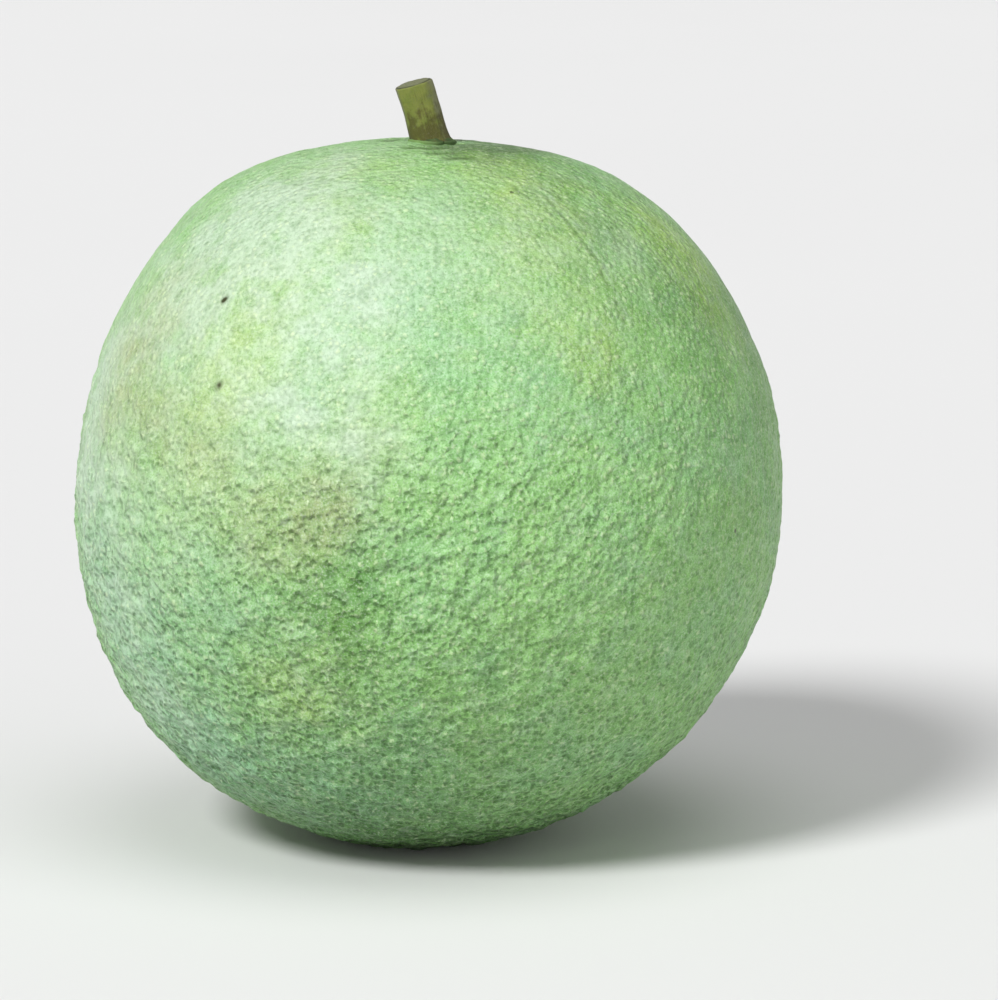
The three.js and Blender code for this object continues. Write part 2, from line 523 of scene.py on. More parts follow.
@dataclass(frozen=True)
class Ripples:
    """Plane waves that cross the rind from all sides and leave it slightly uneven."""

    wavelength: float
    height: float
    count: int
    turn: float

    def waves(self) -> Iterable[tuple[Vector, float]]:
        """Lays the waves' lines evenly over a half ball.

        Yields:
            Each wave's line and its phase.
        """
        golden_angle = math.pi * (3 - math.sqrt(5))
        for wave in range(self.count):
            z = 1 - (wave + 0.5) / self.count
            around = wave * golden_angle + self.turn
            across = math.sqrt(1 - z * z)
            yield Vector((across * math.cos(around), across * math.sin(around), z)), float(wave * wave)

    def frequency(self, radius: float) -> float:
        """How many radians of a wave there are across a fruit's radius."""
        return 2 * math.pi * radius / self.wavelength

    def strength(self) -> float:
        """Each wave's height."""
        return self.height / math.sqrt(self.count / 2)

    def at(self, direction: Vector, radius: float) -> float:
        """The ripples' height.

        Args:
            direction: The direction from the fruit's middle.
            radius: The fruit's radius.

        Returns:
            Their height in that direction.
        """
        frequency = self.frequency(radius)
        waves = [math.sin(frequency * direction.dot(line) + phase) for line, phase in self.waves()]
        return self.strength() * sum(waves)

    def wire(self, direction: Wire, radius: float) -> Wire:
        """The same, as nodes.

        Args:
            direction: The direction from the fruit's middle.
            radius: The fruit's radius.

        Returns:
            The ripples' height in that direction.
        """
        frequency = self.frequency(radius)
        waves = [(direction.dot(line * frequency) + phase).sine() for line, phase in self.waves()]
        return total(waves) * self.strength()


@dataclass(frozen=True)
class Ribs:
    """Even rounded ribs that stand round an axis.

    Attributes:
        count: How many there are.
        turn: How far they are turned, in radians.
        height: How far they stand out.
    """

    count: int
    turn: float
    height: float

    def wire(self, around: Wire) -> Wire:
        """How far they stand out at an angle round the axis, as nodes."""
        return (around * float(self.count) + self.turn).cosine() * self.height


def total(wires: Sequence[Wire]) -> Wire:
    """Adds several wires up.

    Args:
        wires: The wires, at least one.

    Returns:
        Their sum.
    """
    result = wires[0]
    for wire in wires[1:]:
        result = result + wire
    return result


STEM_AZIMUTH = 0.0
STEM_LATITUDE = 88.75


@dataclass(frozen=True)
class FruitForm:
    """The fruit's outer form: a ball with swellings and ripples, pressed flat where it rests."""

    radius: float = 76.1 * MM
    base_flattening: float = 1.9 * MM
    base_rounding: float = 0.5 * MM
    swellings: tuple[Swelling, ...] = (
        Swelling("flattened crown", 90, 90, 18, -2.45 * MM),
        Swelling("pit round the stem", STEM_AZIMUTH, STEM_LATITUDE, 6, -0.6 * MM),
        Swelling("left shoulder", 182, 57, 13, 1.6 * MM),
        Swelling("right shoulder", -4, 50, 13, 1.7 * MM),
        Swelling("far right shoulder", 62, 52, 13, 1.3 * MM),
        Swelling("far left shoulder", 122, 50, 13, 1.0 * MM),
        Swelling("near left shoulder", 242, 52, 13, 1.2 * MM),
        Swelling("near right shoulder", 303, 50, 13, 1.0 * MM),
        Swelling("left flat", 180, 12, 24, -2.9 * MM),
        Swelling("lower left cheek", 186, -50, 20, 1.3 * MM),
        Swelling("lower right cheek", -8, -38, 24, 0.3 * MM),
        Swelling("back cheek", 84, -14, 26, 1.1 * MM),
        Swelling("back left flat", 132, 6, 20, -0.9 * MM),
        Swelling("blossom end", 90, -90, 20, 0.4 * MM),
    )
    scar: Swelling = Swelling("blossom scar", 30, -82, 1.7, -0.9 * MM)
    ripples: tuple[Ripples, ...] = (
        Ripples(34 * MM, 0.12 * MM, 7, 0.4),
        Ripples(12 * MM, 0.05 * MM, 13, 1.9),
    )

    def free_radius(self, direction: Vector) -> float:
        """The radius in a direction, before the foot is pressed flat."""
        swollen = self.radius + sum(swelling.at(direction) for swelling in self.swellings)
        return swollen + sum(ripples.at(direction, self.radius) for ripples in self.ripples)

    def free_radius_wire(self, direction: Wire) -> Wire:
        """The same, as nodes.

        Args:
            direction: The direction from the fruit's middle.

        Returns:
            The radius in that direction.
        """
        swells = [swelling.wire(direction) for swelling in self.swellings]
        unevenness = [ripples.wire(direction, self.radius) for ripples in self.ripples]
        return total(swells + unevenness) + self.radius

    def centre_height(self) -> float:
        """How high the fruit's middle stands over the surface that it rests on."""
        return self.free_radius(Vector((0, 0, -1))) - self.base_flattening

    def stem_foot(self) -> Vector:
        """The point of the rind that the stem stands on."""
        direction = towards(STEM_AZIMUTH, STEM_LATITUDE)
        return direction * self.free_radius(direction) + Vector((0, 0, self.centre_height()))


# Finishes


class ShaderEffect:
    """A shader node group with named inputs and outputs, built once and placed in several materials."""

    def __init__(self, name: str, inputs: dict[str, str], outputs: dict[str, str]) -> None:
        """Starts the group.

        Args:
            name: The group's name.
            inputs: Its inputs' socket types by name.
            outputs: Its outputs' socket types by name.
        """
        tree = bpy.data.node_groups.new(name, "ShaderNodeTree")
        for in_out, sockets in (("INPUT", inputs), ("OUTPUT", outputs)):
            for socket, kind in sockets.items():
                tree.interface.new_socket(socket, in_out=in_out, socket_type=kind)
        self.graph = Graph(tree)
        self.tree = tree
        self.entry = self.graph.node("NodeGroupInput")
        self.exit = self.graph.node("NodeGroupOutput")

    def given(self, name: str) -> Wire:
        """The wire of one of the group's inputs."""
        return self.graph.wire(self.entry, name)

    def give(self, **outputs: Wire) -> None:
        """Feeds the group's outputs."""
        for name, wire in outputs.items():
            self.graph.feed(self.exit.inputs[name], wire)


FLOAT = "NodeSocketFloat"
VECTOR = "NodeSocketVector"


def mottle_effect() -> bpy.types.NodeTree:
    """Builds the soft blotches of the button's and the stem's green.

    Returns:
        A group that takes a place, a seed and an amount, and gives a mask.
    """
    effect = ShaderEffect("Mottle", {"Place": VECTOR, "Seed": FLOAT, "Amount": FLOAT}, {"Mask": FLOAT})
    graph = effect.graph
    place = effect.given("Place") + graph.combine(effect.given("Seed"), 0.0, 0.0)
    blotches = graph.noise(place, 1.0, detail=5.0, roughness=0.62)
    effect.give(Mask=graph.ramp(blotches + effect.given("Amount") * 0.5, 0.42, 0.78))
    return effect.tree


def speck_effect() -> bpy.types.NodeTree:
    """Builds scattered round specks.

    Returns:
        A group that takes a place, a share of the cells and a speck's size, and gives a mask.
    """
    effect = ShaderEffect("Specks", {"Place": VECTOR, "Share": FLOAT, "Size": FLOAT}, {"Mask": FLOAT})
    graph = effect.graph
    cell = graph.cells(effect.given("Place"), 1.0, 1.0)
    chosen = graph.math("LESS_THAN", graph.first_number(graph.wire(cell, "Color")), effect.given("Share"))
    size = effect.given("Size")
    speck = graph.ramp(graph.wire(cell, "Distance"), size * 0.5, size, 1.0, 0.0)
    effect.give(Mask=speck * chosen)
    return effect.tree


def fibre_effect() -> bpy.types.NodeTree:
    """Builds the lengthwise fibres of bark and wood.

    Returns:
        A group that takes a place whose third number runs along the fibres, and gives their height.
    """
    effect = ShaderEffect("Fibres", {"Place": VECTOR}, {"Height": FLOAT})
    stretched = effect.given("Place").times((1.0, 1.0, 0.12))
    effect.give(Height=effect.graph.noise(stretched, 1.0, detail=4.0, roughness=0.65))
    return effect.tree


@dataclass(frozen=True)
class Domes:
    """Low round domes of one kind, scattered close together over a ball.

    Attributes:
        pitch: The usual distance between two domes.
        reach: A dome's radius.
        aside: How far off their pattern is read, so that no two kinds stand on the same points.
        spread: How unevenly they are scattered, from 0 to 1.
    """

    pitch: float
    reach: float
    aside: tuple[float, float, float] = (0.0, 0.0, 0.0)
    spread: float = 0.9

    def over(self, graph: Graph, place: Wire, direction: Wire) -> tuple[Wire, Wire]:
        """Scatters them over the ball.

        Args:
            graph: The tree.
            place: The point on the ball.
            direction: Its direction from the ball's middle.

        Returns:
            The domes' height from 0 to 1, and a random number for each dome.
        """
        read = place + Vector(self.aside)
        cell = graph.cells(read, self.pitch, self.spread)
        offset = read - graph.wire(cell, "Position")
        level = offset - direction * offset.dot(direction)
        fall = (1.0 - level.dot(level) * (1 / self.reach**2)).at_least(0.0)
        return fall * fall, graph.first_number(graph.wire(cell, "Color"))


@dataclass(frozen=True)
class PebbleEffect:
    """The close relief of a citrus rind: a low dome over each oil gland, on coarser pebbles with open pits.

    Attributes:
        glands: The domes over the oil glands.
        pebbles: The coarser pebbles.
        pits: The open pits, as domes that are taken away.
        jostle: How far a gland is pushed up or down by the swells.
        gland_height: A gland's least height and what chance adds to it, in millimetres.
        pebble_height: The same of a pebble.
        pit_depth: How deep a pit is, in millimetres.
        swell: The finer soft unevenness' size in metres and height in millimetres.
        roll: The coarser one's.
        flaws: The size of the breaks in the painted glints.
    """

    glands: Domes = Domes(1.5 * MM, 1.15 * MM)
    pebbles: Domes = Domes(2.6 * MM, 1.9 * MM, (1.0, 0.0, 0.0))
    pits: Domes = Domes(1.5 * MM, 0.85 * MM, (0.0, 1.0, 0.0))
    jostle: float = 0.8 * MM
    gland_height: tuple[float, float] = (0.1, 0.26)
    pebble_height: tuple[float, float] = (0.2, 0.45)
    pit_depth: float = 0.45
    swell: tuple[float, float] = (1.25 * MM, 0.5)
    roll: tuple[float, float] = (3.0 * MM, 1.6)
    flaws: float = 0.8 * MM

    def build(self) -> bpy.types.NodeTree:
        """Builds the effect.

        Returns:
            A group that takes a place, its direction from the fruit's middle and a share of the coarser
            relief, and gives the height in millimetres, the pits and the painted glints on some glands' tops.
        """
        inputs = {"Place": VECTOR, "Direction": VECTOR, "Coarse": FLOAT}
        effect = ShaderEffect("Pebbles", inputs, {"Height": FLOAT, "Pits": FLOAT, "Tops": FLOAT})
        graph = effect.graph
        place = effect.given("Place")
        direction = effect.given("Direction")
        swell = graph.noise(place, self.swell[0], detail=0.0, seed=8.0) - 0.5
        roll = graph.noise(place, self.roll[0], detail=0.0, seed=10.0) - 0.5
        gland, chance = self.glands.over(graph, place + direction * (swell * self.jostle), direction)
        pebble, size = self.pebbles.over(graph, place, direction)
        hole, depth = self.pits.over(graph, place, direction)
        pits = hole * graph.ramp(depth, 0.0, 0.9)
        coarse = pebble * (size * self.pebble_height[1] + self.pebble_height[0])
        coarse = coarse + swell * self.swell[1] + roll * self.roll[1] - pits * self.pit_depth
        fine = gland * (chance * self.gland_height[1] + self.gland_height[0])
        broken = graph.ramp(graph.noise(place, self.flaws, seed=19.0), 0.42, 0.6)
        # Painted glints: pale spots on the tops of the tallest glands stand in for their highlights.
        glints = graph.ramp(chance, 0.4, 0.9) * graph.ramp(gland, 0.3, 0.8) * broken * (1.0 - pits)
        effect.give(Height=fine + coarse * effect.given("Coarse"), Pits=pits, Tops=glints)
        return effect.tree


@dataclass
class Effects:
    """The shader groups that the finishes share."""

    mottle: bpy.types.NodeTree = field(default_factory=mottle_effect)
    specks: bpy.types.NodeTree = field(default_factory=speck_effect)
    fibres: bpy.types.NodeTree = field(default_factory=fibre_effect)
    pebbles: bpy.types.NodeTree = field(default_factory=PebbleEffect().build)


def linear(red: int, green: int, blue: int) -> Colour:
    """A colour given as display values from 0 to 255, as the linear numbers that a shader takes."""
    shares = (red / 255, green / 255, blue / 255)
    return tuple(s / 12.92 if s <= 0.04045 else ((s + 0.055) / 1.055) ** 2.4 for s in shares)


class Surface(Graph):
    """A material's tree, with its Principled BSDF."""

    def __init__(self, name: str) -> None:
        """Starts a material.

        Args:
            name: The material's name.
        """
        self.material = bpy.data.materials.new(name)
        self.material.use_nodes = True
        super().__init__(self.material.node_tree)
        self.shader = self.tree.nodes["Principled BSDF"]

    def place(self) -> Wire:
        """The point on the piece, in metres."""
        return self.wire(self.node("ShaderNodeTexCoord"), "Object")

    def attribute(self, kept: Kept) -> Wire:
        """A vector kept on the piece's own points."""
        return self.wire(self.node("ShaderNodeAttribute", attribute_name=kept.value), "Vector")

    def group(self, tree: bpy.types.NodeTree, **feeds: Feed) -> bpy.types.Node:
        """Places a shared shader group.

        Args:
            tree: The group.
            feeds: What its inputs get.

        Returns:
            The group's node.
        """
        made = self.node("ShaderNodeGroup", node_tree=tree)
        for name, value in feeds.items():
            self.feed(made.inputs[name], value)
        return made

    def bump(self, height: Wire, depth: float, under: Optional[Wire] = None) -> Wire:
        """A Bump node.

        Args:
            height: The relief, from 0 to 1.
            depth: How deep the relief is.
            under: The normal of a coarser relief below this one.

        Returns:
            The new normal.
        """
        made = self.node("ShaderNodeBump")
        self.feed(made.inputs["Height"], height)
        self.feed(made.inputs["Strength"], 1.0)
        self.feed(made.inputs["Distance"], depth)
        if under is not None:
            self.feed(made.inputs["Normal"], under)
        return self.wire(made)

    def set(self, **values: Feed) -> None:
        """Feeds the shader's inputs, with spaces in their names written as underscores."""
        for name, value in values.items():
            self.feed(self.shader.inputs[name.replace("_", " ")], value)


@dataclass(frozen=True)
class Patch:
    """A coloured area of the rind, centred on one direction and ragged at its edge."""

    azimuth: float
    latitude: float
    spread: float
    strength: float

    def wire(self, direction: Wire) -> Wire:
        """How strongly it lies in a direction, as nodes."""
        return Swelling("patch", self.azimuth, self.latitude, self.spread, self.strength).wire(direction)


class Tint(Enum):
    """The tints that lie over the rind's green, some of which hold painted sheen and painted shade."""

    BARE = "bare"
    MINTED = "minted"
    YELLOWED = "yellowed"
    BLOOMY = "bloomy"
    RUSSETED = "russeted"
    SHADED = "shaded"


@dataclass(frozen=True)
class Stain:
    """A tint's colour, and where on the rind it lies.

    Attributes:
        colour: The tint's colour.
        share: How much of what is under it it hides where it is fullest.
        seed: A number that gives its ragged edge its own pattern.
        patches: The areas that have it.
        ragged_edge: How far the pattern eats into the patches.
        stray: How much of it strays beyond them.
    """

    colour: Colour
    share: float
    seed: float
    patches: tuple[Patch, ...]
    ragged_edge: float = 2.2
    stray: float = 0.5

    def hill(self, direction: Wire) -> Wire:
        """How strongly it lies in a direction, before its edge is made ragged."""
        return total([patch.wire(direction) for patch in self.patches])

    def mask(self, graph: Graph, direction: Wire, hill: Wire) -> Wire:
        """Where it lies.

        Args:
            graph: The material.
            direction: The direction from the fruit's middle.
            hill: How strongly it lies there, before its edge is made ragged.

        Returns:
            A mask.
        """
        ragged = graph.noise(direction, 0.1, detail=5.0, roughness=0.68, seed=self.seed) - 0.5
        return (hill * (ragged * self.ragged_edge + 0.75) + ragged * self.stray).at_least(0.0).at_most(1.0)


@dataclass(frozen=True)
class PaintedRidgeLine:
    """A painted line down a side of the fruit; a dark one and a pale one side by side paint the shading of a
    faint ridge.

    Attributes:
        colour: The line's colour.
        share: How much of what is under it it hides.
        aside: How far to the right it lies, as a number of the line's widths.
        start: The azimuth and the latitude of its start.
        end: The same of its end.
        width: Half its width, as a share of the fruit's radius.
        fade: How far its ends fade, likewise.
        wander: The size of its wanderings and how far they go, likewise.
        gaps: The size of its gaps, likewise.
    """

    colour: Colour
    share: float
    aside: float
    start: tuple[float, float] = (307, 60)
    end: tuple[float, float] = (308.5, 32)
    width: float = 0.008
    fade: float = 0.01
    wander: tuple[float, float] = (0.07, 0.03)
    gaps: float = 0.04

    def mask(self, graph: Graph, direction: Wire) -> Wire:
        """Where it lies.

        Args:
            graph: The material.
            direction: The direction from the fruit's middle.

        Returns:
            How much it hides there.
        """
        start, end = towards(*self.start), towards(*self.end)
        middle = (start + end).normalized()
        wander = (graph.noise(direction, self.wander[0], detail=4.0, seed=14.0) - 0.5) * self.wander[1]
        across = direction.dot(start.cross(end).normalized()) + wander
        off = across * (1 / self.width) - self.aside
        last = middle.dot(end)
        reach = graph.ramp(direction.dot(middle), last - self.fade, last + self.fade)
        broken = graph.ramp(graph.noise(direction, self.gaps, seed=15.0), 0.32, 0.6)
        return (-(off * off)).exp() * reach * broken * self.share


@dataclass(frozen=True)
class RindFinish:
    """The waxy, pebbled rind: green, paler and with a waxy bloom towards the crown, with yellow, blue and tan
    areas, and with painted sheen, glints and shade laid into its colour.

    The steps up the fruit (coarse_below, coarse_at_foot and pit_shade_below) are two heights over its middle,
    in radii, and the strengths below the first and above the second.
    """

    green: Colour = linear(147, 197, 120)
    deep_green: Colour = linear(70, 124, 42)
    yellow_green: Colour = linear(172, 200, 100)
    mint: Colour = linear(140, 190, 148)
    # The colour of painted shade: the crown's dark band, the folds and the dark ridge line.
    shade: Colour = linear(74, 98, 50)
    # The colour of the painted shade in the pits.
    pit_shade_green: Colour = linear(62, 112, 38)
    # The colour of the painted glints.
    glint_pale: Colour = linear(206, 225, 178)
    tan: Colour = linear(166, 172, 124)
    # Pale bloom; also the colour of the painted sheen and of a painted highlight line.
    bloom: Colour = linear(196, 213, 194)
    scab: Colour = linear(60, 64, 36)
    drift: float = 18 * MM
    blotches: float = 4 * MM
    grain: float = 0.4 * MM
    grain_share: float = 0.45
    glint_share: float = 0.5
    fold_shade_share: float = 0.75
    speck_pitch: float = 9 * MM
    relief_depth: float = 1 * MM
    grain_depth: float = 0.06 * MM
    roughness: float = 0.46
    gloss: float = 0.3
    coarse_below: tuple[float, float, float, float] = (0.05, 0.55, 1.25, 0.3)
    coarse_at_foot: tuple[float, float, float, float] = (-0.9, -0.2, 1.6, 1.0)
    pit_shade_below: tuple[float, float, float, float] = (-0.9, 0.4, 0.6, 0.26)
    scabs: tuple[Swelling, ...] = (
        Swelling("upper scab", 229.6, 36.8, 0.35, 1.0),
        Swelling("upper scab's edge", 229.2, 36.4, 0.3, 1.0),
        Swelling("lower scab", 234.8, 22.9, 0.45, 1.0),
    )
    calm: Swelling = Swelling("calm side", 325, 12, 34, 0.55)
    # The shading of a faint ridge down the right side: a dark line of painted shade, and a pale line of
    # painted highlight just right of it.
    painted_ridge_lines: tuple[PaintedRidgeLine, ...] = (PaintedRidgeLine(shade, share=0.45, aside=0.0), PaintedRidgeLine(bloom, share=0.25, aside=2.4))
    # Deeper green where the bloom is missing, and painted shade: darker under the fruit, down its right side
    # and on the crown right of the stem, and a painted shadow low on its front.
    bare: Stain = Stain(
        deep_green, share=0.7, seed=2.0, patches=(
            Patch(252, -62, 26, 0.6), Patch(250, -38, 14, 0.25), Patch(322, 66, 9, 0.6),
            Patch(312, 48, 10, 0.25), Patch(332, 42, 12, 0.2), Patch(332, 22, 22, 0.5),
            Patch(305, 80, 5, 0.6), Patch(340, 74, 6, 0.6), Patch(60, -40, 30, 0.4),
            Patch(150, -30, 24, 0.4), Patch(354, 30, 11, 0.8), Patch(258, -6, 5, 0.9),
            Patch(257, -17, 6, 0.5), Patch(332, 34, 6, 0.5), Patch(307, 52, 8, 0.4),
            Patch(268, -68, 10, 1.4),
        )
    )
    # A blue-green tint; its areas along the lower left edge also paint a pale sheen there.
    minted: Stain = Stain(
        mint, share=0.8, seed=3.0, patches=(
            Patch(202, -2, 9, 0.8), Patch(207, -18, 9, 0.9), Patch(212, -34, 9, 0.9),
            Patch(320, 36, 9, 0.1), Patch(222, -18, 9, 0.5), Patch(231, -2, 8, 0.3),
            Patch(215, -46, 8, 0.5), Patch(240, -14, 7, 0.35), Patch(232, -40, 12, 0.6),
            Patch(254, -46, 12, 0.5), Patch(270, 40, 10, 0.45), Patch(284, 28, 12, 0.35),
            Patch(20, 61, 12, 0.5), Patch(100, 20, 18, 0.6), Patch(60, 0, 14, 0.5),
        )
    )
    yellowed: Stain = Stain(
        yellow_green, share=0.7, seed=4.0, patches=(
            Patch(240, 64, 6, 0.7), Patch(250, 51, 5, 0.6), Patch(234, 36, 7, 0.9),
            Patch(238, 27, 6, 0.6), Patch(303, 68, 7, 0.7), Patch(302, 56, 5, 0.6),
            Patch(296, 44, 10, 0.45), Patch(300, 29, 5, 0.7), Patch(261, 20, 5, 0.5),
            Patch(231, 17, 7, 0.8), Patch(228, 6, 8, 0.25), Patch(338, 48, 7, 0.7),
            Patch(340, 35, 7, 0.6), Patch(248, -22, 8, 0.5), Patch(140, 42, 12, 0.6),
            Patch(80, 48, 10, 0.6), Patch(30, 10, 10, 0.5),
        )
    )
    # The waxy bloom, and a painted sheen: most of its areas lie on the upper left and the left, where the key
    # light's broad highlight falls, and along the lower left edge.
    bloomy: Stain = Stain(
        bloom, share=0.75, seed=5.0, patches=(
            Patch(222, 47, 11, 0.9), Patch(236, 46, 9, 0.5), Patch(252, 38, 7, 0.6),
            Patch(256, 27, 5, 0.4), Patch(254, 17, 5, 0.6), Patch(212, 36, 9, 0.6),
            Patch(222, 26, 8, 0.4), Patch(198, 22, 10, 0.7), Patch(196, 2, 9, 0.7),
            Patch(226, 60, 8, 0.6), Patch(226, 14, 7, 0.1), Patch(240, 23, 8, 0.45),
            Patch(246, 18, 6, 0.4), Patch(214, 3, 7, 0.5), Patch(320, 45, 4, 0.3),
            Patch(193, 20, 7, 0.6), Patch(202, 10, 7, 0.5), Patch(217, -10, 6, 0.3),
            Patch(214, -31, 8, 0.6), Patch(232, 2, 9, 0.4), Patch(259, 35, 6, 0.15),
            Patch(262, 16, 5, 0.6), Patch(260, 51, 6, 0.4), Patch(262, 37, 6, 0.3),
            Patch(226, 74, 6, 0.5), Patch(172, 42, 8, 0.4), Patch(206, -14, 8, 0.5),
            Patch(285, 50, 14, 0.4), Patch(110, 50, 20, 0.6), Patch(10, 40, 14, 0.3),
        )
    )
    russeted: Stain = Stain(
        tan, share=0.8, seed=6.0, patches=(
            Patch(211, 32, 6, 0.7), Patch(208, 20, 6, 0.8), Patch(222, 15, 5, 0.6),
            Patch(236, 12, 5, 0.5), Patch(244, 3, 5, 0.55), Patch(251, 2, 5, 0.45),
            Patch(257, 7, 5, 0.7), Patch(251, -26, 5, 0.2), Patch(120, 12, 8, 0.6),
            Patch(40, 34, 7, 0.5),
        )
    )
    # Painted shade: a dark band along the crown's outline right of the stem, and darker under the fruit.
    shaded: Stain = Stain(
        shade, share=0.75, seed=9.0, patches=(
            Patch(292, 81, 2.6, 0.9), Patch(318, 79, 3.0, 1.5), Patch(336, 76, 3.4, 1.8),
            Patch(358, 73, 3.4, 0.9), Patch(306, 71, 3.0, 0.7), Patch(46, 79, 3.2, 1.6),
            Patch(34, 77, 3.6, 2.8), Patch(25, 75, 3.6, 3.0), Patch(18, 73, 3.0, 2.2),
            Patch(268, -76, 13, 1.0),
        )
    )

    def stains(self) -> dict[Tint, Stain]:
        """The tints' stains, in the order in which they are laid."""
        laid = (self.bare, self.minted, self.yellowed, self.bloomy, self.russeted, self.shaded)
        return dict(zip(Tint, laid))

    def tinted(self, rind: Surface, place: Wire, direction: Wire) -> tuple[Wire, Wire]:
        """Lays the tints over the green.

        Args:
            rind: The material.
            place: The point on the fruit.
            direction: Its direction from the fruit's middle.

        Returns:
            The colour, and where the bloom and its painted sheen lie.
        """
        drift = rind.noise(place, self.drift, detail=4.0, roughness=0.6, seed=1.0)
        colour = rind.blend(rind.ramp(drift, 0.42, 0.66, 0.0, 0.35), self.green, self.mint)
        hills = rind.attribute(Kept.FIRST_TINTS).parts() + rind.attribute(Kept.OTHER_TINTS).parts()
        masks = {}
        for (tint, stain), hill in zip(self.stains().items(), hills):
            masks[tint] = stain.mask(rind, direction, hill)
            colour = rind.blend(masks[tint] * stain.share, colour, stain.colour)
        return colour, masks[Tint.BLOOMY]

    def grained(self, rind: Surface, colour: Wire, place: Wire, grain: Wire, bloomy: Wire) -> Wire:
        """Breaks the colour up into pale and dark blotches and grains.

        Args:
            rind: The material.
            colour: The colour so far.
            place: The point on the fruit.
            grain: The finest unevenness of the skin.
            bloomy: Where the bloom and its painted sheen lie, which half hides the grains.

        Returns:
            The colour.
        """
        blotches = rind.noise(place, self.blotches, detail=2.0, seed=20.0)
        colour = rind.blend(rind.ramp(blotches, 0.5, 0.72) * 0.16, colour, self.bloom)
        colour = rind.blend(rind.ramp(blotches, 0.3, 0.5, 1.0, 0.0) * 0.2, colour, self.deep_green)
        quiet = 1.0 - bloomy * 0.5
        dark = rind.ramp(grain, 0.3, 0.5, 1.0, 0.0) * quiet
        colour = rind.blend(dark * self.grain_share, colour, self.deep_green)
        pale = rind.ramp(grain, 0.5, 0.7) * quiet
        return rind.blend(pale * self.grain_share, colour, self.bloom)

    def marked(self, rind: Surface, colour: Wire, direction: Wire, dark_spots: Wire) -> Wire:
        """Adds the dark spots, the scabs, the painted shade in the folds and the painted shade and highlight
        lines of a faint ridge.

        Args:
            rind: The material.
            colour: The colour so far.
            direction: The direction from the fruit's middle.
            dark_spots: Where there are specks, and the blossom's scar.

        Returns:
            The colour.
        """
        scabs = total([scab.wire(direction) for scab in self.scabs])
        colour = rind.blend(dark_spots + scabs, colour, self.scab)
        # Painted shade in the folds round the button: the rind is darkened where it is folded in.
        folds = rind.attribute(Kept.FOLDS).parts()[0]
        colour = rind.blend(folds * self.fold_shade_share, colour, self.shade)
        for ridge_line in self.painted_ridge_lines:
            colour = rind.blend(ridge_line.mask(rind, direction), colour, ridge_line.colour)
        return colour

    def material(self, effects: Effects, form: FruitForm) -> bpy.types.Material:
        """Builds the rind's material.

        Args:
            effects: The shared shader groups.
            form: The fruit's form, for its middle and its scar.

        Returns:
            The material.
        """
        rind = Surface("waxy green rind")
        place = rind.place()
        direction = (place - Vector((0, 0, form.centre_height()))).unit()
        height = direction.parts()[2]
        colour, bloomy = self.tinted(rind, place, direction)
        calm = (1.0 - bloomy * 0.8) * (1.0 - self.calm.wire(direction))
        coarse = rind.ramp(height, *self.coarse_below) * rind.ramp(height, *self.coarse_at_foot) * calm
        pebbles = rind.group(effects.pebbles, Place=place, Direction=direction, Coarse=coarse)
        grain = rind.noise(place, self.grain, detail=2.0, seed=7.0)
        colour = self.grained(rind, colour, place, grain, bloomy)
        # Painted shade in the pits, stronger towards the bottom.
        pit_shade = rind.wire(pebbles, "Pits") * rind.ramp(height, *self.pit_shade_below)
        colour = rind.blend(pit_shade, colour, self.pit_shade_green)
        # Painted glints on the tops of some glands.
        colour = rind.blend(rind.wire(pebbles, "Tops") * self.glint_share, colour, self.glint_pale)
        specks = rind.group(effects.specks, Place=place * (1 / self.speck_pitch), Share=0.05, Size=0.07)
        scar = form.scar.wire(direction) * (0.7 / form.scar.height)
        colour = self.marked(rind, colour, direction, rind.wire(specks, "Mask") * 0.8 + scar)
        relief = rind.bump(rind.wire(pebbles, "Height"), self.relief_depth)
        skin = rind.bump(grain, self.grain_depth, relief)
        rind.set(Base_Color=colour, Normal=skin, Roughness=self.roughness, Specular_IOR_Level=self.gloss)
        return rind.material


@dataclass(frozen=True)
class ButtonFinish:
    """The button's dark green skin, browned on its rim."""

    green: Colour = linear(72, 98, 44)
    dark: Colour = linear(40, 58, 24)
    brown: Colour = linear(88, 78, 38)
    rim: Colour = linear(62, 88, 40)
    pale_rim: Colour = linear(118, 150, 84)
    rim_darkens: tuple[float, float] = (-1 * MM, 5 * MM)
    blotches: float = 3 * MM
    wear: float = 1.2 * MM
    fibre_width: float = 0.5 * MM
    fibre_depth: float = 0.12 * MM
    roughness: float = 0.7

    def material(self, effects: Effects) -> bpy.types.Material:
        """Builds the button's material.

        Args:
            effects: The shared shader groups.

        Returns:
            The material.
        """
        skin = Surface("dark green button")
        place = skin.place()
        radial = skin.attribute(Kept.GRAIN)
        mottle = skin.group(effects.mottle, Place=place * (1 / self.blotches), Seed=3.0, Amount=0.2)
        fibres = skin.group(effects.fibres, Place=radial * (1 / self.fibre_width))
        colour = skin.blend(skin.wire(mottle, "Mask"), self.green, self.dark)
        strands = skin.wire(fibres, "Height")
        colour = skin.blend(skin.ramp(strands, 0.5, 0.7, 0.0, 0.7), colour, self.brown)
        from_edge = skin.attribute(Kept.EDGE).parts()[0]
        worn = skin.noise(place, self.wear, detail=2.0, seed=18.0)
        rim = skin.blend(skin.ramp(place.parts()[0], *self.rim_darkens), self.pale_rim, self.rim)
        colour = skin.blend(skin.ramp(from_edge + worn * 0.2, 0.86, 1.0) * 0.8, colour, rim)
        relief = skin.bump(strands, self.fibre_depth)
        skin.set(Base_Color=colour, Normal=relief, Roughness=self.roughness)
        return skin.material


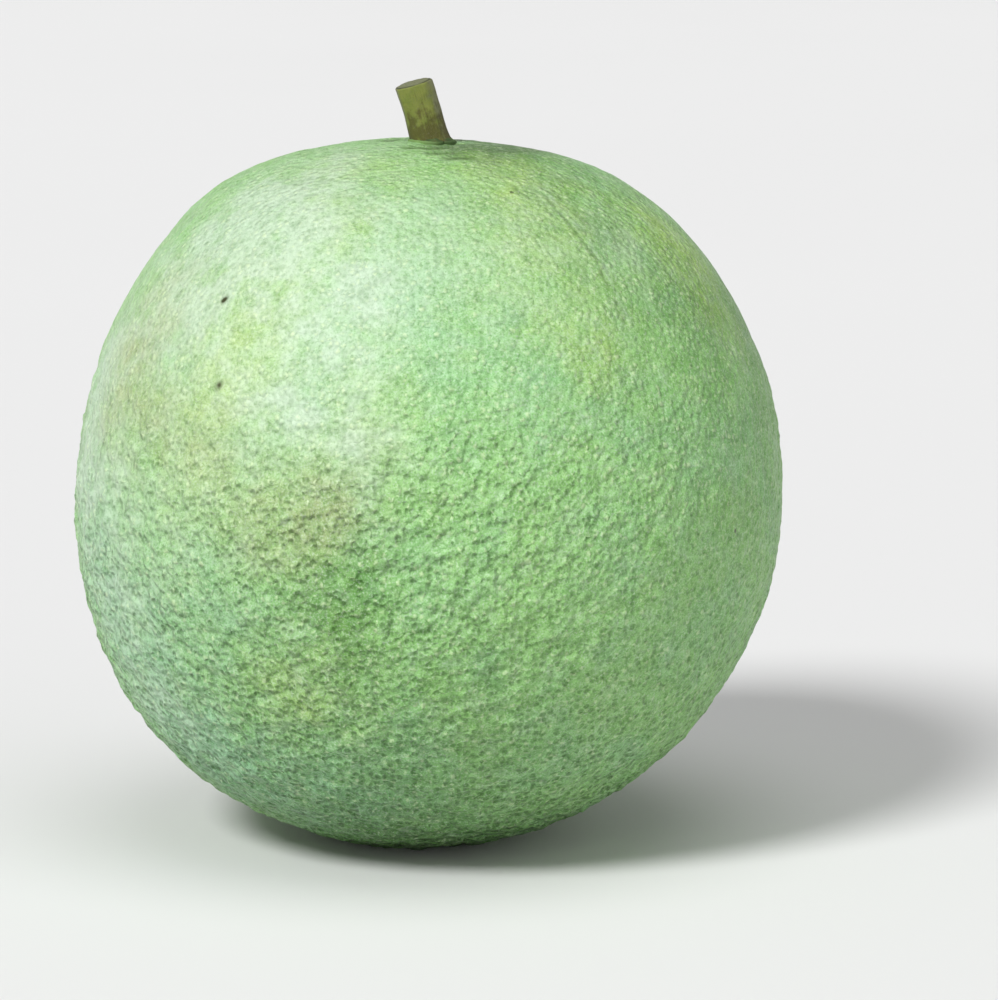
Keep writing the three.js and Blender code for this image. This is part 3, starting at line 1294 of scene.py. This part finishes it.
@dataclass(frozen=True)
class StemFinish:
    """Green bark with brown fibres, and the grey-green cut end with its pith."""

    bark: Colour = linear(122, 128, 56)
    bark_green: Colour = linear(98, 114, 36)
    bark_brown: Colour = linear(68, 60, 14)
    grey: Colour = linear(118, 118, 92)
    cut_wood: Colour = linear(118, 122, 92)
    cut_edge: Colour = linear(62, 66, 40)
    pith: Colour = linear(100, 102, 66)
    grey_and_sheen_sides: tuple[float, float] = (0.0, 165.0)
    browned_height: tuple[float, float] = (1 * MM, 12 * MM)
    blotches: float = 2.6 * MM
    weather: float = 2.5 * MM
    brown_patches: float = 1.8 * MM
    crumbs: float = 0.35 * MM
    fibre_width: float = 0.6 * MM
    fibre_depth: float = 0.2 * MM
    skin_grain: float = 0.4 * MM
    skin_depth: float = 0.12 * MM
    saw_marks: float = 1.1 * MM
    ring_width: float = 0.55 * MM
    cut_from_top: tuple[float, float] = (0.25 * MM, 0.1 * MM)
    roughness: float = 0.72

    def bark_colour(self, bark: Surface, effects: Effects, grain: Wire, strands: Wire) -> Wire:
        """The bark's colour, browned in its furrows and near its foot, and grey down its left and right
        sides:
        partly weathered bark and partly a painted sheen.

        Args:
            bark: The material.
            effects: The shared shader groups.
            grain: The point on the stem stood upright.
            strands: The height of the fibres.

        Returns:
            The colour.
        """
        x, y, along = grain.parts()
        mottle = bark.group(effects.mottle, Place=grain * (1 / self.blotches), Seed=1.0, Amount=0.1)
        colour = bark.blend(bark.wire(mottle, "Mask") * 0.8, self.bark, self.bark_green)
        around = bark.math("ARCTAN2", y, x)
        # Grey down the left and right sides: partly weathered bark, partly a painted sheen along the stem's
        # edges.
        sides = [(around - math.radians(side)).cosine() for side in self.grey_and_sheen_sides]
        sideways = sides[0].at_least(sides[1]) + bark.noise(grain, self.weather, seed=7.0) - 0.5
        colour = bark.blend(bark.ramp(sideways, 0.55, 0.95) * 0.75, colour, self.grey)
        low = bark.ramp(along, *self.browned_height, 1.3, 0.0)
        patchy = bark.noise(grain, self.brown_patches, detail=3.0, roughness=0.6, seed=6.0) - 0.5
        browned = bark.ramp(strands * 0.6 + patchy * 0.7 + low * 0.2, 0.34, 0.56)
        colour = bark.blend(browned * 0.75, colour, self.bark_brown)
        crumbs = bark.noise(grain, self.crumbs, detail=2.0, seed=16.0)
        return bark.blend(bark.ramp(crumbs, 0.52, 0.72) * 0.25, colour, self.grey)

    def cut_colour(self, bark: Surface, grain: Wire, radius: float) -> Wire:
        """The cut end's colour: grey-green wood with growth rings, a darker edge and a pith.

        Args:
            bark: The material.
            grain: The point on the stem stood upright.
            radius: The stem's radius.

        Returns:
            The colour.
        """
        x, y, _ = grain.parts()
        outward = (x * x + y * y) ** 0.5
        saw = bark.noise(grain.times((1.0, 4.0, 0.0)), self.saw_marks, detail=3.0, seed=9.0)
        rings = (outward * (2 * math.pi / self.ring_width) + saw * 5.0).sine() * 0.25 + saw
        cut = bark.blend(bark.ramp(rings, 0.3, 0.9), self.cut_wood, self.pith)
        cut = bark.blend(bark.ramp(outward, 0.84 * radius, 0.93 * radius), cut, self.cut_edge)
        return bark.blend(bark.ramp(outward, 0.12 * radius, 0.22 * radius, 0.8, 0.0), cut, self.pith)

    def material(self, effects: Effects, stem: "Stem") -> bpy.types.Material:
        """Builds the stem's material.

        Args:
            effects: The shared shader groups.
            stem: The stem, for its sizes.

        Returns:
            The material.
        """
        bark = Surface("green bark and cut wood")
        grain = bark.attribute(Kept.GRAIN)
        fibres = bark.group(effects.fibres, Place=grain * (1 / self.fibre_width))
        strands = bark.wire(fibres, "Height")
        on_cut = bark.ramp(grain.parts()[2], *(stem.length - down for down in self.cut_from_top))
        side = self.bark_colour(bark, effects, grain, strands)
        colour = bark.blend(on_cut, side, self.cut_colour(bark, grain, stem.radius))
        skin = bark.noise(grain, self.skin_grain, detail=3.0, seed=17.0)
        relief = bark.bump(skin, self.skin_depth, bark.bump(strands, self.fibre_depth))
        bark.set(Base_Color=colour, Normal=relief, Roughness=self.roughness)
        return bark.material


@dataclass(frozen=True)
class FloorFinish:
    """The studio's matt white floor."""

    white: Colour = (0.75, 0.75, 0.75)
    dulled: float = 0.99
    drift: float = 0.8
    roughness: float = 0.9

    def material(self) -> bpy.types.Material:
        """Builds the floor's material, with a faint unevenness of tone.

        Returns:
            The material.
        """
        floor = Surface("matt white floor")
        drift = floor.noise(floor.place(), self.drift)
        dull = tuple(self.dulled * share for share in self.white)
        colour = floor.blend(floor.ramp(drift, 0.3, 0.7), self.white, dull)
        floor.set(Base_Color=colour, Roughness=self.roughness)
        return floor.material


# Pieces


def settle(piece: bpy.types.Object, node: str) -> bpy.types.Object:
    """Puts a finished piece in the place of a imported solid.

    Args:
        piece: The piece.
        node: The solid that it stands for.

    Returns:
        The piece.
    """
    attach(piece, "root")
    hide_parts(node)
    LOG.info("%s: %d points, %d faces", piece.name, len(piece.data.vertices), len(piece.data.polygons))
    return piece


@dataclass(frozen=True)
class Fold:
    """A shallow fold in the rind, which runs part way round the button.

    Attributes:
        radius: How far out from the button's middle it runs.
        middle: The azimuth of its middle.
        reach: Half the angle that it spans.
    """

    radius: float
    middle: float
    reach: float


@dataclass
class Fruit:
    """The fruit in its rind.

    Attributes:
        form: Its outer form.
        finish: The rind's finish.
        net_points: How many points its net has along each edge of the cube that it is blown up from.
        crown_crowding: How strongly the net is drawn towards the crown.
        crowding_reach: How far from the crown the net is drawn.
        pebble_width: The size of the rind's pebbles.
        pebble_height: How high they stand.
        dent_width: The size of its shallow dents.
        dent_height: How deep they are.
        sunk: How far the rind is sunk, so that its pebbles stay within the fruit's form.
        even_stretch: The size of the areas that have stronger or weaker relief.
        lower_relief: The relief's strength up the fruit: two heights over the middle, in radii, and the
            strengths below the first and above the second.
        crown_folds: The folds round the button.
        fold_width: Half a fold's width.
        fold_depth: A fold's depth.
        fold_wander: How far a fold wanders off its circle.
        fold_waves: The size of its wanderings.
        fold_fade: Half the angle over which a fold's end fades.
        least_dip: The least slope downwards that the foot's plane is worked out for.
    """

    form: FruitForm = field(default_factory=FruitForm)
    finish: RindFinish = field(default_factory=RindFinish)
    net_points: int = 129
    crown_crowding: float = 0.7
    crowding_reach: float = 24.0
    pebble_width: float = 2.4 * MM
    pebble_height: float = 1.3 * MM
    dent_width: float = 5.0 * MM
    dent_height: float = 1.0 * MM
    sunk: float = 0.45 * MM
    even_stretch: float = 30 * MM
    lower_relief: tuple[float, float, float, float] = (0.15, 0.6, 1.1, 0.25)
    crown_folds: tuple[Fold, ...] = (
        Fold(6.8 * MM, 300, 45),
        Fold(12.4 * MM, 268, 24),
        Fold(17.4 * MM, 281, 9),
        Fold(21.5 * MM, 286, 5),
        Fold(9.5 * MM, 150, 34),
    )
    fold_width: float = 1.5 * MM
    fold_depth: float = 0.5 * MM
    fold_wander: float = 3 * MM
    fold_waves: float = 7 * MM
    fold_fade: float = 8.0
    least_dip: float = 0.05

    def net(self, grower: Grower, points: Wire) -> tuple[Wire, Wire]:
        """The even net of faces that carries the rind.

        Args:
            grower: The fruit's tree.
            points: How many points the net has along each edge of the cube that it is blown up from.

        Returns:
            The cube's mesh, and each point's direction from the fruit's middle, drawn towards the crown.
        """
        cube = grower.node("GeometryNodeMeshCube")
        for axis in "XYZ":
            grower.feed(cube.inputs[f"Vertices {axis}"], points)
        spread = grower.vector_math("TANGENT", grower.position() * (math.pi / 2))
        even = spread.unit()
        from_crown = grower.math("ARCCOSINE", even.parts()[2]) * (1 / math.radians(self.crowding_reach))
        pull = (-(from_crown * from_crown)).exp() * self.crown_crowding
        return grower.wire(cube, "Mesh"), (even + grower.combine(0.0, 0.0, pull)).unit()

    def relief(self, grower: Grower, direction: Wire, pebble_height: Wire) -> Wire:
        """The pebbles and shallow dents of the rind.

        Args:
            grower: The fruit's tree.
            direction: The direction from the fruit's middle.
            pebble_height: How high a pebble stands.

        Returns:
            How far the rind stands out.
        """
        place = direction * self.form.radius
        coarse = grower.noise(place, self.even_stretch, seed=11.0)
        pebbles = (grower.noise(place, self.pebble_width, detail=0.0, seed=13.0) - 0.5) * pebble_height
        dents = grower.noise(place, self.dent_width, detail=1.0, seed=12.0) - 0.5
        lower = grower.ramp(direction.parts()[2], *self.lower_relief)
        uneven = grower.ramp(coarse, 0.3, 0.65, 0.7, 1.2) * lower * (1.0 - self.finish.calm.wire(direction))
        return (pebbles + dents * self.dent_height) * uneven - uneven.at_least(0.3).at_most(1.0) * self.sunk

    def folds(self, grower: Grower, place: Wire) -> Wire:
        """The shallow folds that run part way round the button.

        Args:
            grower: The fruit's tree.
            place: The point on a smooth fruit, from its middle.

        Returns:
            How far the rind is folded in, as a share of the deepest fold.
        """
        foot = towards(STEM_AZIMUTH, STEM_LATITUDE) * self.form.radius
        x, y, _ = (place - foot).parts()
        wander = grower.noise(place, self.fold_waves, seed=21.0) - 0.5
        out = (x * x + y * y) ** 0.5 + wander * self.fold_wander
        around = grower.math("ARCTAN2", y, x)
        rings = []
        for fold in self.crown_folds:
            off = (out - fold.radius) * (1 / self.fold_width)
            turned = (around - math.radians(fold.middle)).cosine()
            outer, inner = fold.reach + self.fold_fade, max(fold.reach - self.fold_fade, 0)
            shown = grower.ramp(turned, math.cos(math.radians(outer)), math.cos(math.radians(inner)))
            rings.append((-(off * off)).exp() * shown)
        return total(rings)

    def build(self, effects: Effects) -> bpy.types.Object:
        """Grows the fruit and dresses it.

        Args:
            effects: The shared shader groups.

        Returns:
            The piece.
        """
        grower = Grower("Pomelo rind")
        points = grower.size("Net Points", self.net_points)
        pebble_height = grower.size("Pebble Height", self.pebble_height)
        centre = grower.size("Middle Height", self.form.centre_height())
        rounding = grower.size("Base Rounding", self.form.base_rounding)
        rind = grower.size("Rind", self.finish.material(effects, self.form))
        cube, direction = self.net(grower, points)
        free = self.form.free_radius_wire(direction) + self.relief(grower, direction, pebble_height)
        folds = self.folds(grower, direction * self.form.radius)
        free = free - folds * self.fold_depth
        dip = (-direction.parts()[2]).at_least(self.least_dip)
        pressed = grower.math("SMOOTH_MIN", free, centre / dip, rounding)
        radius = pressed + self.form.scar.wire(direction)
        hills = [stain.hill(direction) for stain in self.finish.stains().values()]
        noted = grower.note(cube, Kept.FOLDS, grower.combine(folds, 0.0, 0.0))
        noted = grower.note(noted, Kept.FIRST_TINTS, grower.combine(*hills[:3]))
        noted = grower.note(noted, Kept.OTHER_TINTS, grower.combine(*hills[3:]))
        mesh = grower.move(noted, direction * radius + grower.combine(0.0, 0.0, centre))
        return settle(grower.grow("pomelo_fruit", mesh, rind), "fruit")


@dataclass
class Stem:
    """The cut stem: a leaning length of green wood.

    Attributes:
        form: The fruit that it stands on.
        finish: Its bark and cut wood.
        radius: Its radius at half its height.
        length: The height of its cut along its own axis.
        start: Where it starts on that axis.
        lean: How far it leans.
        leans_towards: The azimuth that it leans towards.
        bow: How far its middle line is bowed.
        bevel: How much narrower it is at the cut.
        ridges: Its long ridges, whose heights are shares of the radius.
        waist: How much thicker its ends are, as a share of the radius.
        bark_relief: How deep the bark's furrows are.
        fibre_width: The width of a fibre of the bark, in radii.
        fibre_stretch: A fibre's width as a share of its length.
        knot_width: The size of the bark's low knots, in radii.
        foot_flare: How much wider its foot is.
        flare_height: How high the flare reaches.
        cut_starts: Where the rounding towards the cut starts, as a share of the length.
        cut_roughness: How rough the cut is.
        saw_width: The size of the cut's unevenness, in radii.
        cut_dish: How deep the pith is sunk into the cut.
        dish_reach: How far out the sunk pith reaches, in radii.
        cut_fall: How far the cut falls off at its edge.
        fall_starts: Where the edge starts to fall off, in radii.
        sides: How many sides its mesh has round the axis.
        side_rows: How many rows of faces its wall has.
        cap_rings: How many rings of faces its cut has.
    """

    form: FruitForm
    finish: StemFinish = field(default_factory=StemFinish)
    radius: float = 3.9 * MM
    length: float = 12.9 * MM
    start: float = -0.4 * MM
    lean: float = 16.5
    leans_towards: float = 195.0
    bow: float = 0.15 * MM
    bevel: float = 0.3 * MM
    ridges: tuple[Ribs, ...] = (Ribs(3, 0.6, 0.03), Ribs(8, 1.1, 0.02))
    waist: float = 0.005
    bark_relief: float = 0.22 * MM
    fibre_width: float = 0.32
    fibre_stretch: float = 0.16
    knot_width: float = 1.1
    foot_flare: float = 0.35 * MM
    flare_height: float = 1.6 * MM
    cut_starts: float = 0.97
    cut_roughness: float = 0.25 * MM
    saw_width: float = 0.35
    cut_dish: float = 0.3 * MM
    dish_reach: float = 0.3
    cut_fall: float = 0.12 * MM
    fall_starts: float = 0.86
    sides: int = 120
    side_rows: int = 84
    cap_rings: int = 16

    def axes(self) -> tuple[Vector, Vector, Vector]:
        """The stem's own directions.

        Returns:
            The two across it and the one along it.
        """
        along = towards(self.leans_towards, 90 - self.lean)
        turn = Vector((0, 0, 1)).rotation_difference(along)
        return turn @ Vector((1, 0, 0)), turn @ Vector((0, 1, 0)), along

    def bend(self, along: Wire) -> Wire:
        """How far the stem's middle line stands off the straight."""
        return (along * (math.pi / self.length)).sine() * self.bow

    def wall(self, grower: Grower, around: Wire, unit: Wire, along: Wire) -> Wire:
        """The stem's radius.

        Args:
            grower: The stem's tree.
            around: The angle round the stem.
            unit: The point on a straight stem of radius 1 that is as tall as the real one is in radii.
            along: The height along the stem.

        Returns:
            The radius.
        """
        ridges = total([ribs.wire(around) for ribs in self.ridges])
        waist = (along * (2 * math.pi / self.length)).cosine() * self.waist
        drawn_out = unit.times((1.0, 1.0, self.fibre_stretch))
        fibres = grower.noise(drawn_out, self.fibre_width, detail=4.0, roughness=0.6, seed=31.0) - 0.5
        knots = grower.noise(unit, self.knot_width, detail=1.0, seed=32.0) - 0.5
        flare = (-(along * (1 / self.flare_height))).exp() * self.foot_flare
        relief = fibres * self.bark_relief * 2.0 + knots * self.bark_relief
        return (ridges + waist + 1.0) * self.radius + relief + flare

    def build(self, effects: Effects) -> bpy.types.Object:
        """Grows the stem and dresses it.

        Args:
            effects: The shared shader groups.

        Returns:
            The piece.
        """
        grower = Grower("Cut stem")
        length = grower.size("Stem Length", self.length)
        start = grower.size("Stem Start", self.start)
        bevel = grower.size("Cut Bevel", self.bevel)
        bark = grower.size("Bark", self.finish.material(effects, self))
        tube = grower.cylinder(self.sides, self.side_rows, self.cap_rings)
        x, y, z = grower.position().parts()
        outward = (x * x + y * y) ** 0.5
        around = grower.math("ARCTAN2", y, x)
        share = z + 0.5
        along = start + (length - start) * share
        unit = grower.combine(around.cosine(), around.sine(), along * (1 / self.radius))
        radius = self.wall(grower, around, unit, along) * outward
        near_top = grower.ramp(share, self.cut_starts, 1.0)
        radius = radius - near_top * bevel * outward
        sawn = grower.noise(grower.combine(x, y, 0.0), self.saw_width, detail=3.0, seed=41.0)
        rough_cut = (sawn - 0.5) * self.cut_roughness
        dish = grower.ramp(outward, 0.0, self.dish_reach, self.cut_dish, 0.0)
        fall = grower.ramp(outward, self.fall_starts, 1.0) * self.cut_fall
        height = along + near_top * (rough_cut - dish) - near_top * fall
        across, over, axis = self.axes()
        foot = self.form.stem_foot()
        sideways, inwards = radius * around.cosine(), radius * around.sine()
        point = grower.combine(*foot) + grower.combine(*across) * (sideways + self.bend(along))
        point = point + grower.combine(*over) * inwards + grower.combine(*axis) * height
        grain = grower.combine(sideways, inwards, along)
        mesh = grower.move(grower.note(tube, Kept.GRAIN, grain), point)
        return settle(grower.grow("pomelo_stem", mesh, bark), "stem")


@dataclass
class Button:
    """The lobed green button that the stem rises from.

    Attributes:
        form: The fruit that it sits on.
        stem: The stem that it holds.
        finish: Its skin.
        radius: Its radius between two lobes.
        lobe_reach: How far the longest lobe reaches beyond it.
        lobe_count: How many lobes it has.
        lobe_turn: The azimuth of the longest lobe.
        lobe_evenness: The length of a middling lobe, as a share of the longest.
        lobe_curve: A power that makes the lobes rounder.
        nibble: How far its edge is nibbled in and out.
        nibble_width: The size of the nibbles, in radii.
        rim: Its height over the rind at its edge.
        crown: Its height over the rind at the stem, where it is highest.
        crown_turn: The azimuth of its highest side.
        crown_least: The height at its lowest side, as a share of the crown's.
        crown_curve: A power that makes its top hollow towards the edge.
        root: How deep it reaches into the rind.
        neck_share: The share of the mesh's rings that lies within the stem.
        ribs: The ribs that run down from its crown.
        crumple: The size and the height of its unevenness.
        fall_starts: Where its edge starts to fall off, as a share of the way out.
        edge_fall: How far its edge falls off.
        up_the_stem: How far over the crown it may climb up the stem.
        fibre_turn: How far apart its fibres stand for each radian round it.
        sides: How many sides its mesh has round the axis.
        side_rows: How many rows of faces its edge has.
        cap_rings: How many rings of faces its top has.
    """

    form: FruitForm
    stem: Stem
    finish: ButtonFinish = field(default_factory=ButtonFinish)
    radius: float = 4.4 * MM
    lobe_reach: float = 1.2 * MM
    lobe_count: int = 5
    lobe_turn: float = -12.0
    lobe_evenness: float = 0.6
    lobe_curve: float = 0.8
    nibble: float = 0.7 * MM
    nibble_width: float = 0.35
    rim: float = 0.35 * MM
    crown: float = 1.9 * MM
    crown_turn: float = 50.0
    crown_least: float = 0.35
    crown_curve: float = 2.2
    root: float = 0.8 * MM
    neck_share: float = 0.3
    ribs: tuple[Ribs, ...] = (Ribs(15, 0.0, 0.06 * MM), Ribs(5, 1.0, 0.1 * MM))
    crumple: tuple[float, float] = (1.4 * MM, 0.4 * MM)
    fall_starts: float = 0.93
    edge_fall: float = 0.12 * MM
    up_the_stem: float = 0.3 * MM
    fibre_turn: float = 1.2 * MM
    sides: int = 180
    side_rows: int = 3
    cap_rings: int = 30

    def edge(self, grower: Grower, around: Wire) -> Wire:
        """How far out the button reaches.

        Args:
            grower: The button's tree.
            around: The angle round the button.

        Returns:
            The radius of its edge.
        """
        turned = around - math.radians(self.lobe_turn)
        lobe = (turned * (self.lobe_count / 2)).cosine().absolute()
        size = turned.cosine() * (1 - self.lobe_evenness) + self.lobe_evenness
        turn = grower.combine(around.cosine(), around.sine(), 0.0)
        nibbled = (grower.noise(turn, self.nibble_width, detail=2.0, seed=51.0) - 0.5) * self.nibble
        return lobe**self.lobe_curve * size * self.lobe_reach + self.radius + nibbled

    def build(self, effects: Effects) -> bpy.types.Object:
        """Grows the button and dresses it.

        Args:
            effects: The shared shader groups.

        Returns:
            The piece.
        """
        grower = Grower("Lobed button")
        crown = grower.size("Button Crown", self.crown)
        rim = grower.size("Button Rim", self.rim)
        root = grower.size("Button Root", self.root)
        skin = grower.size("Skin", self.finish.material(effects))
        disc = grower.cylinder(self.sides, self.side_rows, self.cap_rings)
        x, y, z = grower.position().parts()
        outward = (x * x + y * y) ** 0.5
        around = grower.math("ARCTAN2", y, x)
        share = ((outward - self.neck_share) * (1 / (1 - self.neck_share))).at_least(0.0)
        neck = outward.at_most(self.neck_share) * (self.stem.radius / self.neck_share)
        out = neck + (self.edge(grower, around) - self.stem.radius) * share
        ribs = total([ribs.wire(around) for ribs in self.ribs]) * (1.0 - share)
        flat = grower.combine(out * around.cosine(), out * around.sine(), 0.0)
        crumple = (grower.noise(flat, self.crumple[0], detail=3.0, seed=52.0) - 0.5) * self.crumple[1]
        towards_crown = (around - math.radians(self.crown_turn)).cosine() * 0.5 + 0.5
        rise = crown * (towards_crown * (1 - self.crown_least) + self.crown_least)
        lift = rim + (rise - rim) * (1.0 - share) ** self.crown_curve + ribs + crumple
        lift = lift - grower.ramp(outward, self.fall_starts, 1.0) * self.edge_fall
        foot = self.form.stem_foot()
        level = grower.combine(out * around.cosine() + foot.x, out * around.sine() + foot.y, 0.0)
        direction = (level + Vector((0, 0, foot.z - self.form.centre_height()))).unit()
        surface = self.form.free_radius_wire(direction) * direction.parts()[2] + self.form.centre_height()
        glint_share = z + 0.5
        height = surface - root + (lift + root) * glint_share
        seat = self.seat(grower, level)
        point = level + grower.combine(0.0, 0.0, height.at_most(seat))
        noted = grower.note(disc, Kept.GRAIN, grower.combine(around * self.fibre_turn, 0.0, out))
        noted = grower.note(noted, Kept.EDGE, grower.combine(outward, 0.0, 0.0))
        mesh = grower.move(noted, point)
        return settle(grower.grow("pomelo_calyx_button", mesh, skin), "calyx_button")

    def seat(self, grower: Grower, level: Wire) -> Wire:
        """The leaning plane that the button's top doesn't rise above, a little up the stem.

        Args:
            grower: The button's tree; not used.
            level: The point's place seen from above.

        Returns:
            The plane's height there.
        """
        axis = self.stem.axes()[2]
        foot = self.form.stem_foot() + axis * (self.crown + self.up_the_stem)
        x, y, _ = level.parts()
        return (x - foot.x) * (-axis.x / axis.z) + (y - foot.y) * (-axis.y / axis.z) + foot.z


# Studio


@dataclass(frozen=True)
class SoftLight:
    """A broad far light, which shines from one direction and casts soft shadows."""

    name: str
    azimuth: float
    elevation: float
    breadth: float
    power: float

    def place(self, target: Vector, distance: float) -> bpy.types.Object:
        """Hangs the light.

        Args:
            target: The point that it is aimed at.
            distance: How far off its holder stands, which doesn't change its light.

        Returns:
            The light.
        """
        lamp = bpy.data.lights.new(self.name, "SUN")
        lamp.angle = math.radians(self.breadth)
        lamp.energy = self.power
        holder = bpy.data.objects.new(self.name, lamp)
        holder.location = target + towards(self.azimuth, self.elevation) * distance
        holder.rotation_euler = (target - holder.location).to_track_quat("-Z", "Y").to_euler()
        bpy.context.scene.collection.objects.link(holder)
        return holder


@dataclass
class Studio:
    """The floor, the lights and the camera."""

    form: FruitForm
    finish: FloorFinish = field(default_factory=FloorFinish)
    floor_radius: float = 12.0
    surround: Colour = (1.0, 1.0, 1.0)
    surround_strength: float = 0.23
    skyline_strength: float = 0.88
    skyline_band: tuple[float, float] = (8.0, 16.0)
    lights: tuple[SoftLight, ...] = (
        SoftLight("key light", 232, 42, 16, 2.8),
        SoftLight("top light", 290, 76, 40, 0.8),
        SoftLight("fill light", 318, 30, 60, 0.35),
    )
    light_distance: float = 3.0
    camera_elevation: float = 9.0
    camera_distance: float = 0.95
    pixels_per_metre: float = 1 / 0.0002117
    fruit_pixel: tuple[float, float] = (423.2, 486.6)
    sensor: float = 36.0
    clips: tuple[float, float] = (0.01, 100.0)

    def middle(self) -> Vector:
        """The fruit's middle."""
        return Vector((0, 0, self.form.centre_height()))

    def build_floor(self) -> bpy.types.Object:
        """Lays the floor.

        Returns:
            The floor.
        """
        bpy.ops.mesh.primitive_circle_add(vertices=128, radius=self.floor_radius, fill_type="NGON")
        floor = bpy.context.active_object
        floor.name = "studio_floor"
        floor.data.materials.append(self.finish.material())
        floor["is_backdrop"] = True
        return floor

    def light(self) -> None:
        """Hangs the lights, and sets the surround's light, which is as pale as the floor at the skyline."""
        world = bpy.data.worlds.new("studio surround")
        world.use_nodes = True
        graph = Graph(world.node_tree)
        background = world.node_tree.nodes["Background"]
        height = graph.wire(graph.node("ShaderNodeTexCoord"), "Generated").parts()[2]
        low, high = (math.sin(math.radians(angle)) for angle in self.skyline_band)
        strength = graph.ramp(height, low, high, self.skyline_strength, self.surround_strength)
        graph.feed(background.inputs["Strength"], strength)
        background.inputs["Color"].default_value = (*self.surround, 1.0)
        bpy.context.scene.world = world
        for light in self.lights:
            light.place(self.middle(), self.light_distance)

    def place_camera(self) -> bpy.types.Object:
        """Stands the camera before the fruit, which it sees left of the picture's middle.

        Returns:
            The camera.
        """
        lens = bpy.data.cameras.new("camera")
        lens.sensor_width = self.sensor
        lens.lens = self.sensor * self.pixels_per_metre * self.camera_distance / max(PICTURE_SIZE)
        lens.clip_start, lens.clip_end = self.clips
        camera = bpy.data.objects.new("camera", lens)
        bpy.context.scene.collection.objects.link(camera)
        back = towards(-90, self.camera_elevation)
        right = Vector((1, 0, 0))
        up = back.cross(right)
        aside = PICTURE_SIZE[0] / 2 - self.fruit_pixel[0]
        above = self.fruit_pixel[1] - PICTURE_SIZE[1] / 2
        target = self.middle() + (right * aside + up * above) * (1 / self.pixels_per_metre)
        camera.location = self.middle() + back * self.camera_distance
        camera.rotation_euler = (target - camera.location).to_track_quat("-Z", "Y").to_euler()
        bpy.context.scene.camera = camera
        return camera

    def build(self) -> None:
        """Sets up the whole studio."""
        self.build_floor()
        self.light()
        self.place_camera()
        bpy.context.scene.view_settings.view_transform = "Standard"
        bpy.context.scene.view_settings.look = "None"


def write_sizes() -> None:
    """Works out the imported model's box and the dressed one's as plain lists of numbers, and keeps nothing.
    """
    boxes = {"cad": CAD_BOX, "visual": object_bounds()}
    {name: [list(corner) for corner in box] for name, box in boxes.items()}


def main() -> None:
    """Builds the studio and the pomelo's pieces, in order."""
    logging.basicConfig(level=logging.INFO, format="%(name)s: %(message)s")
    form = FruitForm()
    Studio(form).build()
    effects = Effects()
    Fruit(form).build(effects)
    stem = Stem(form)
    stem.build(effects)
    Button(form, stem).build(effects)
    write_sizes()


if __name__ == "__main__":
    main()
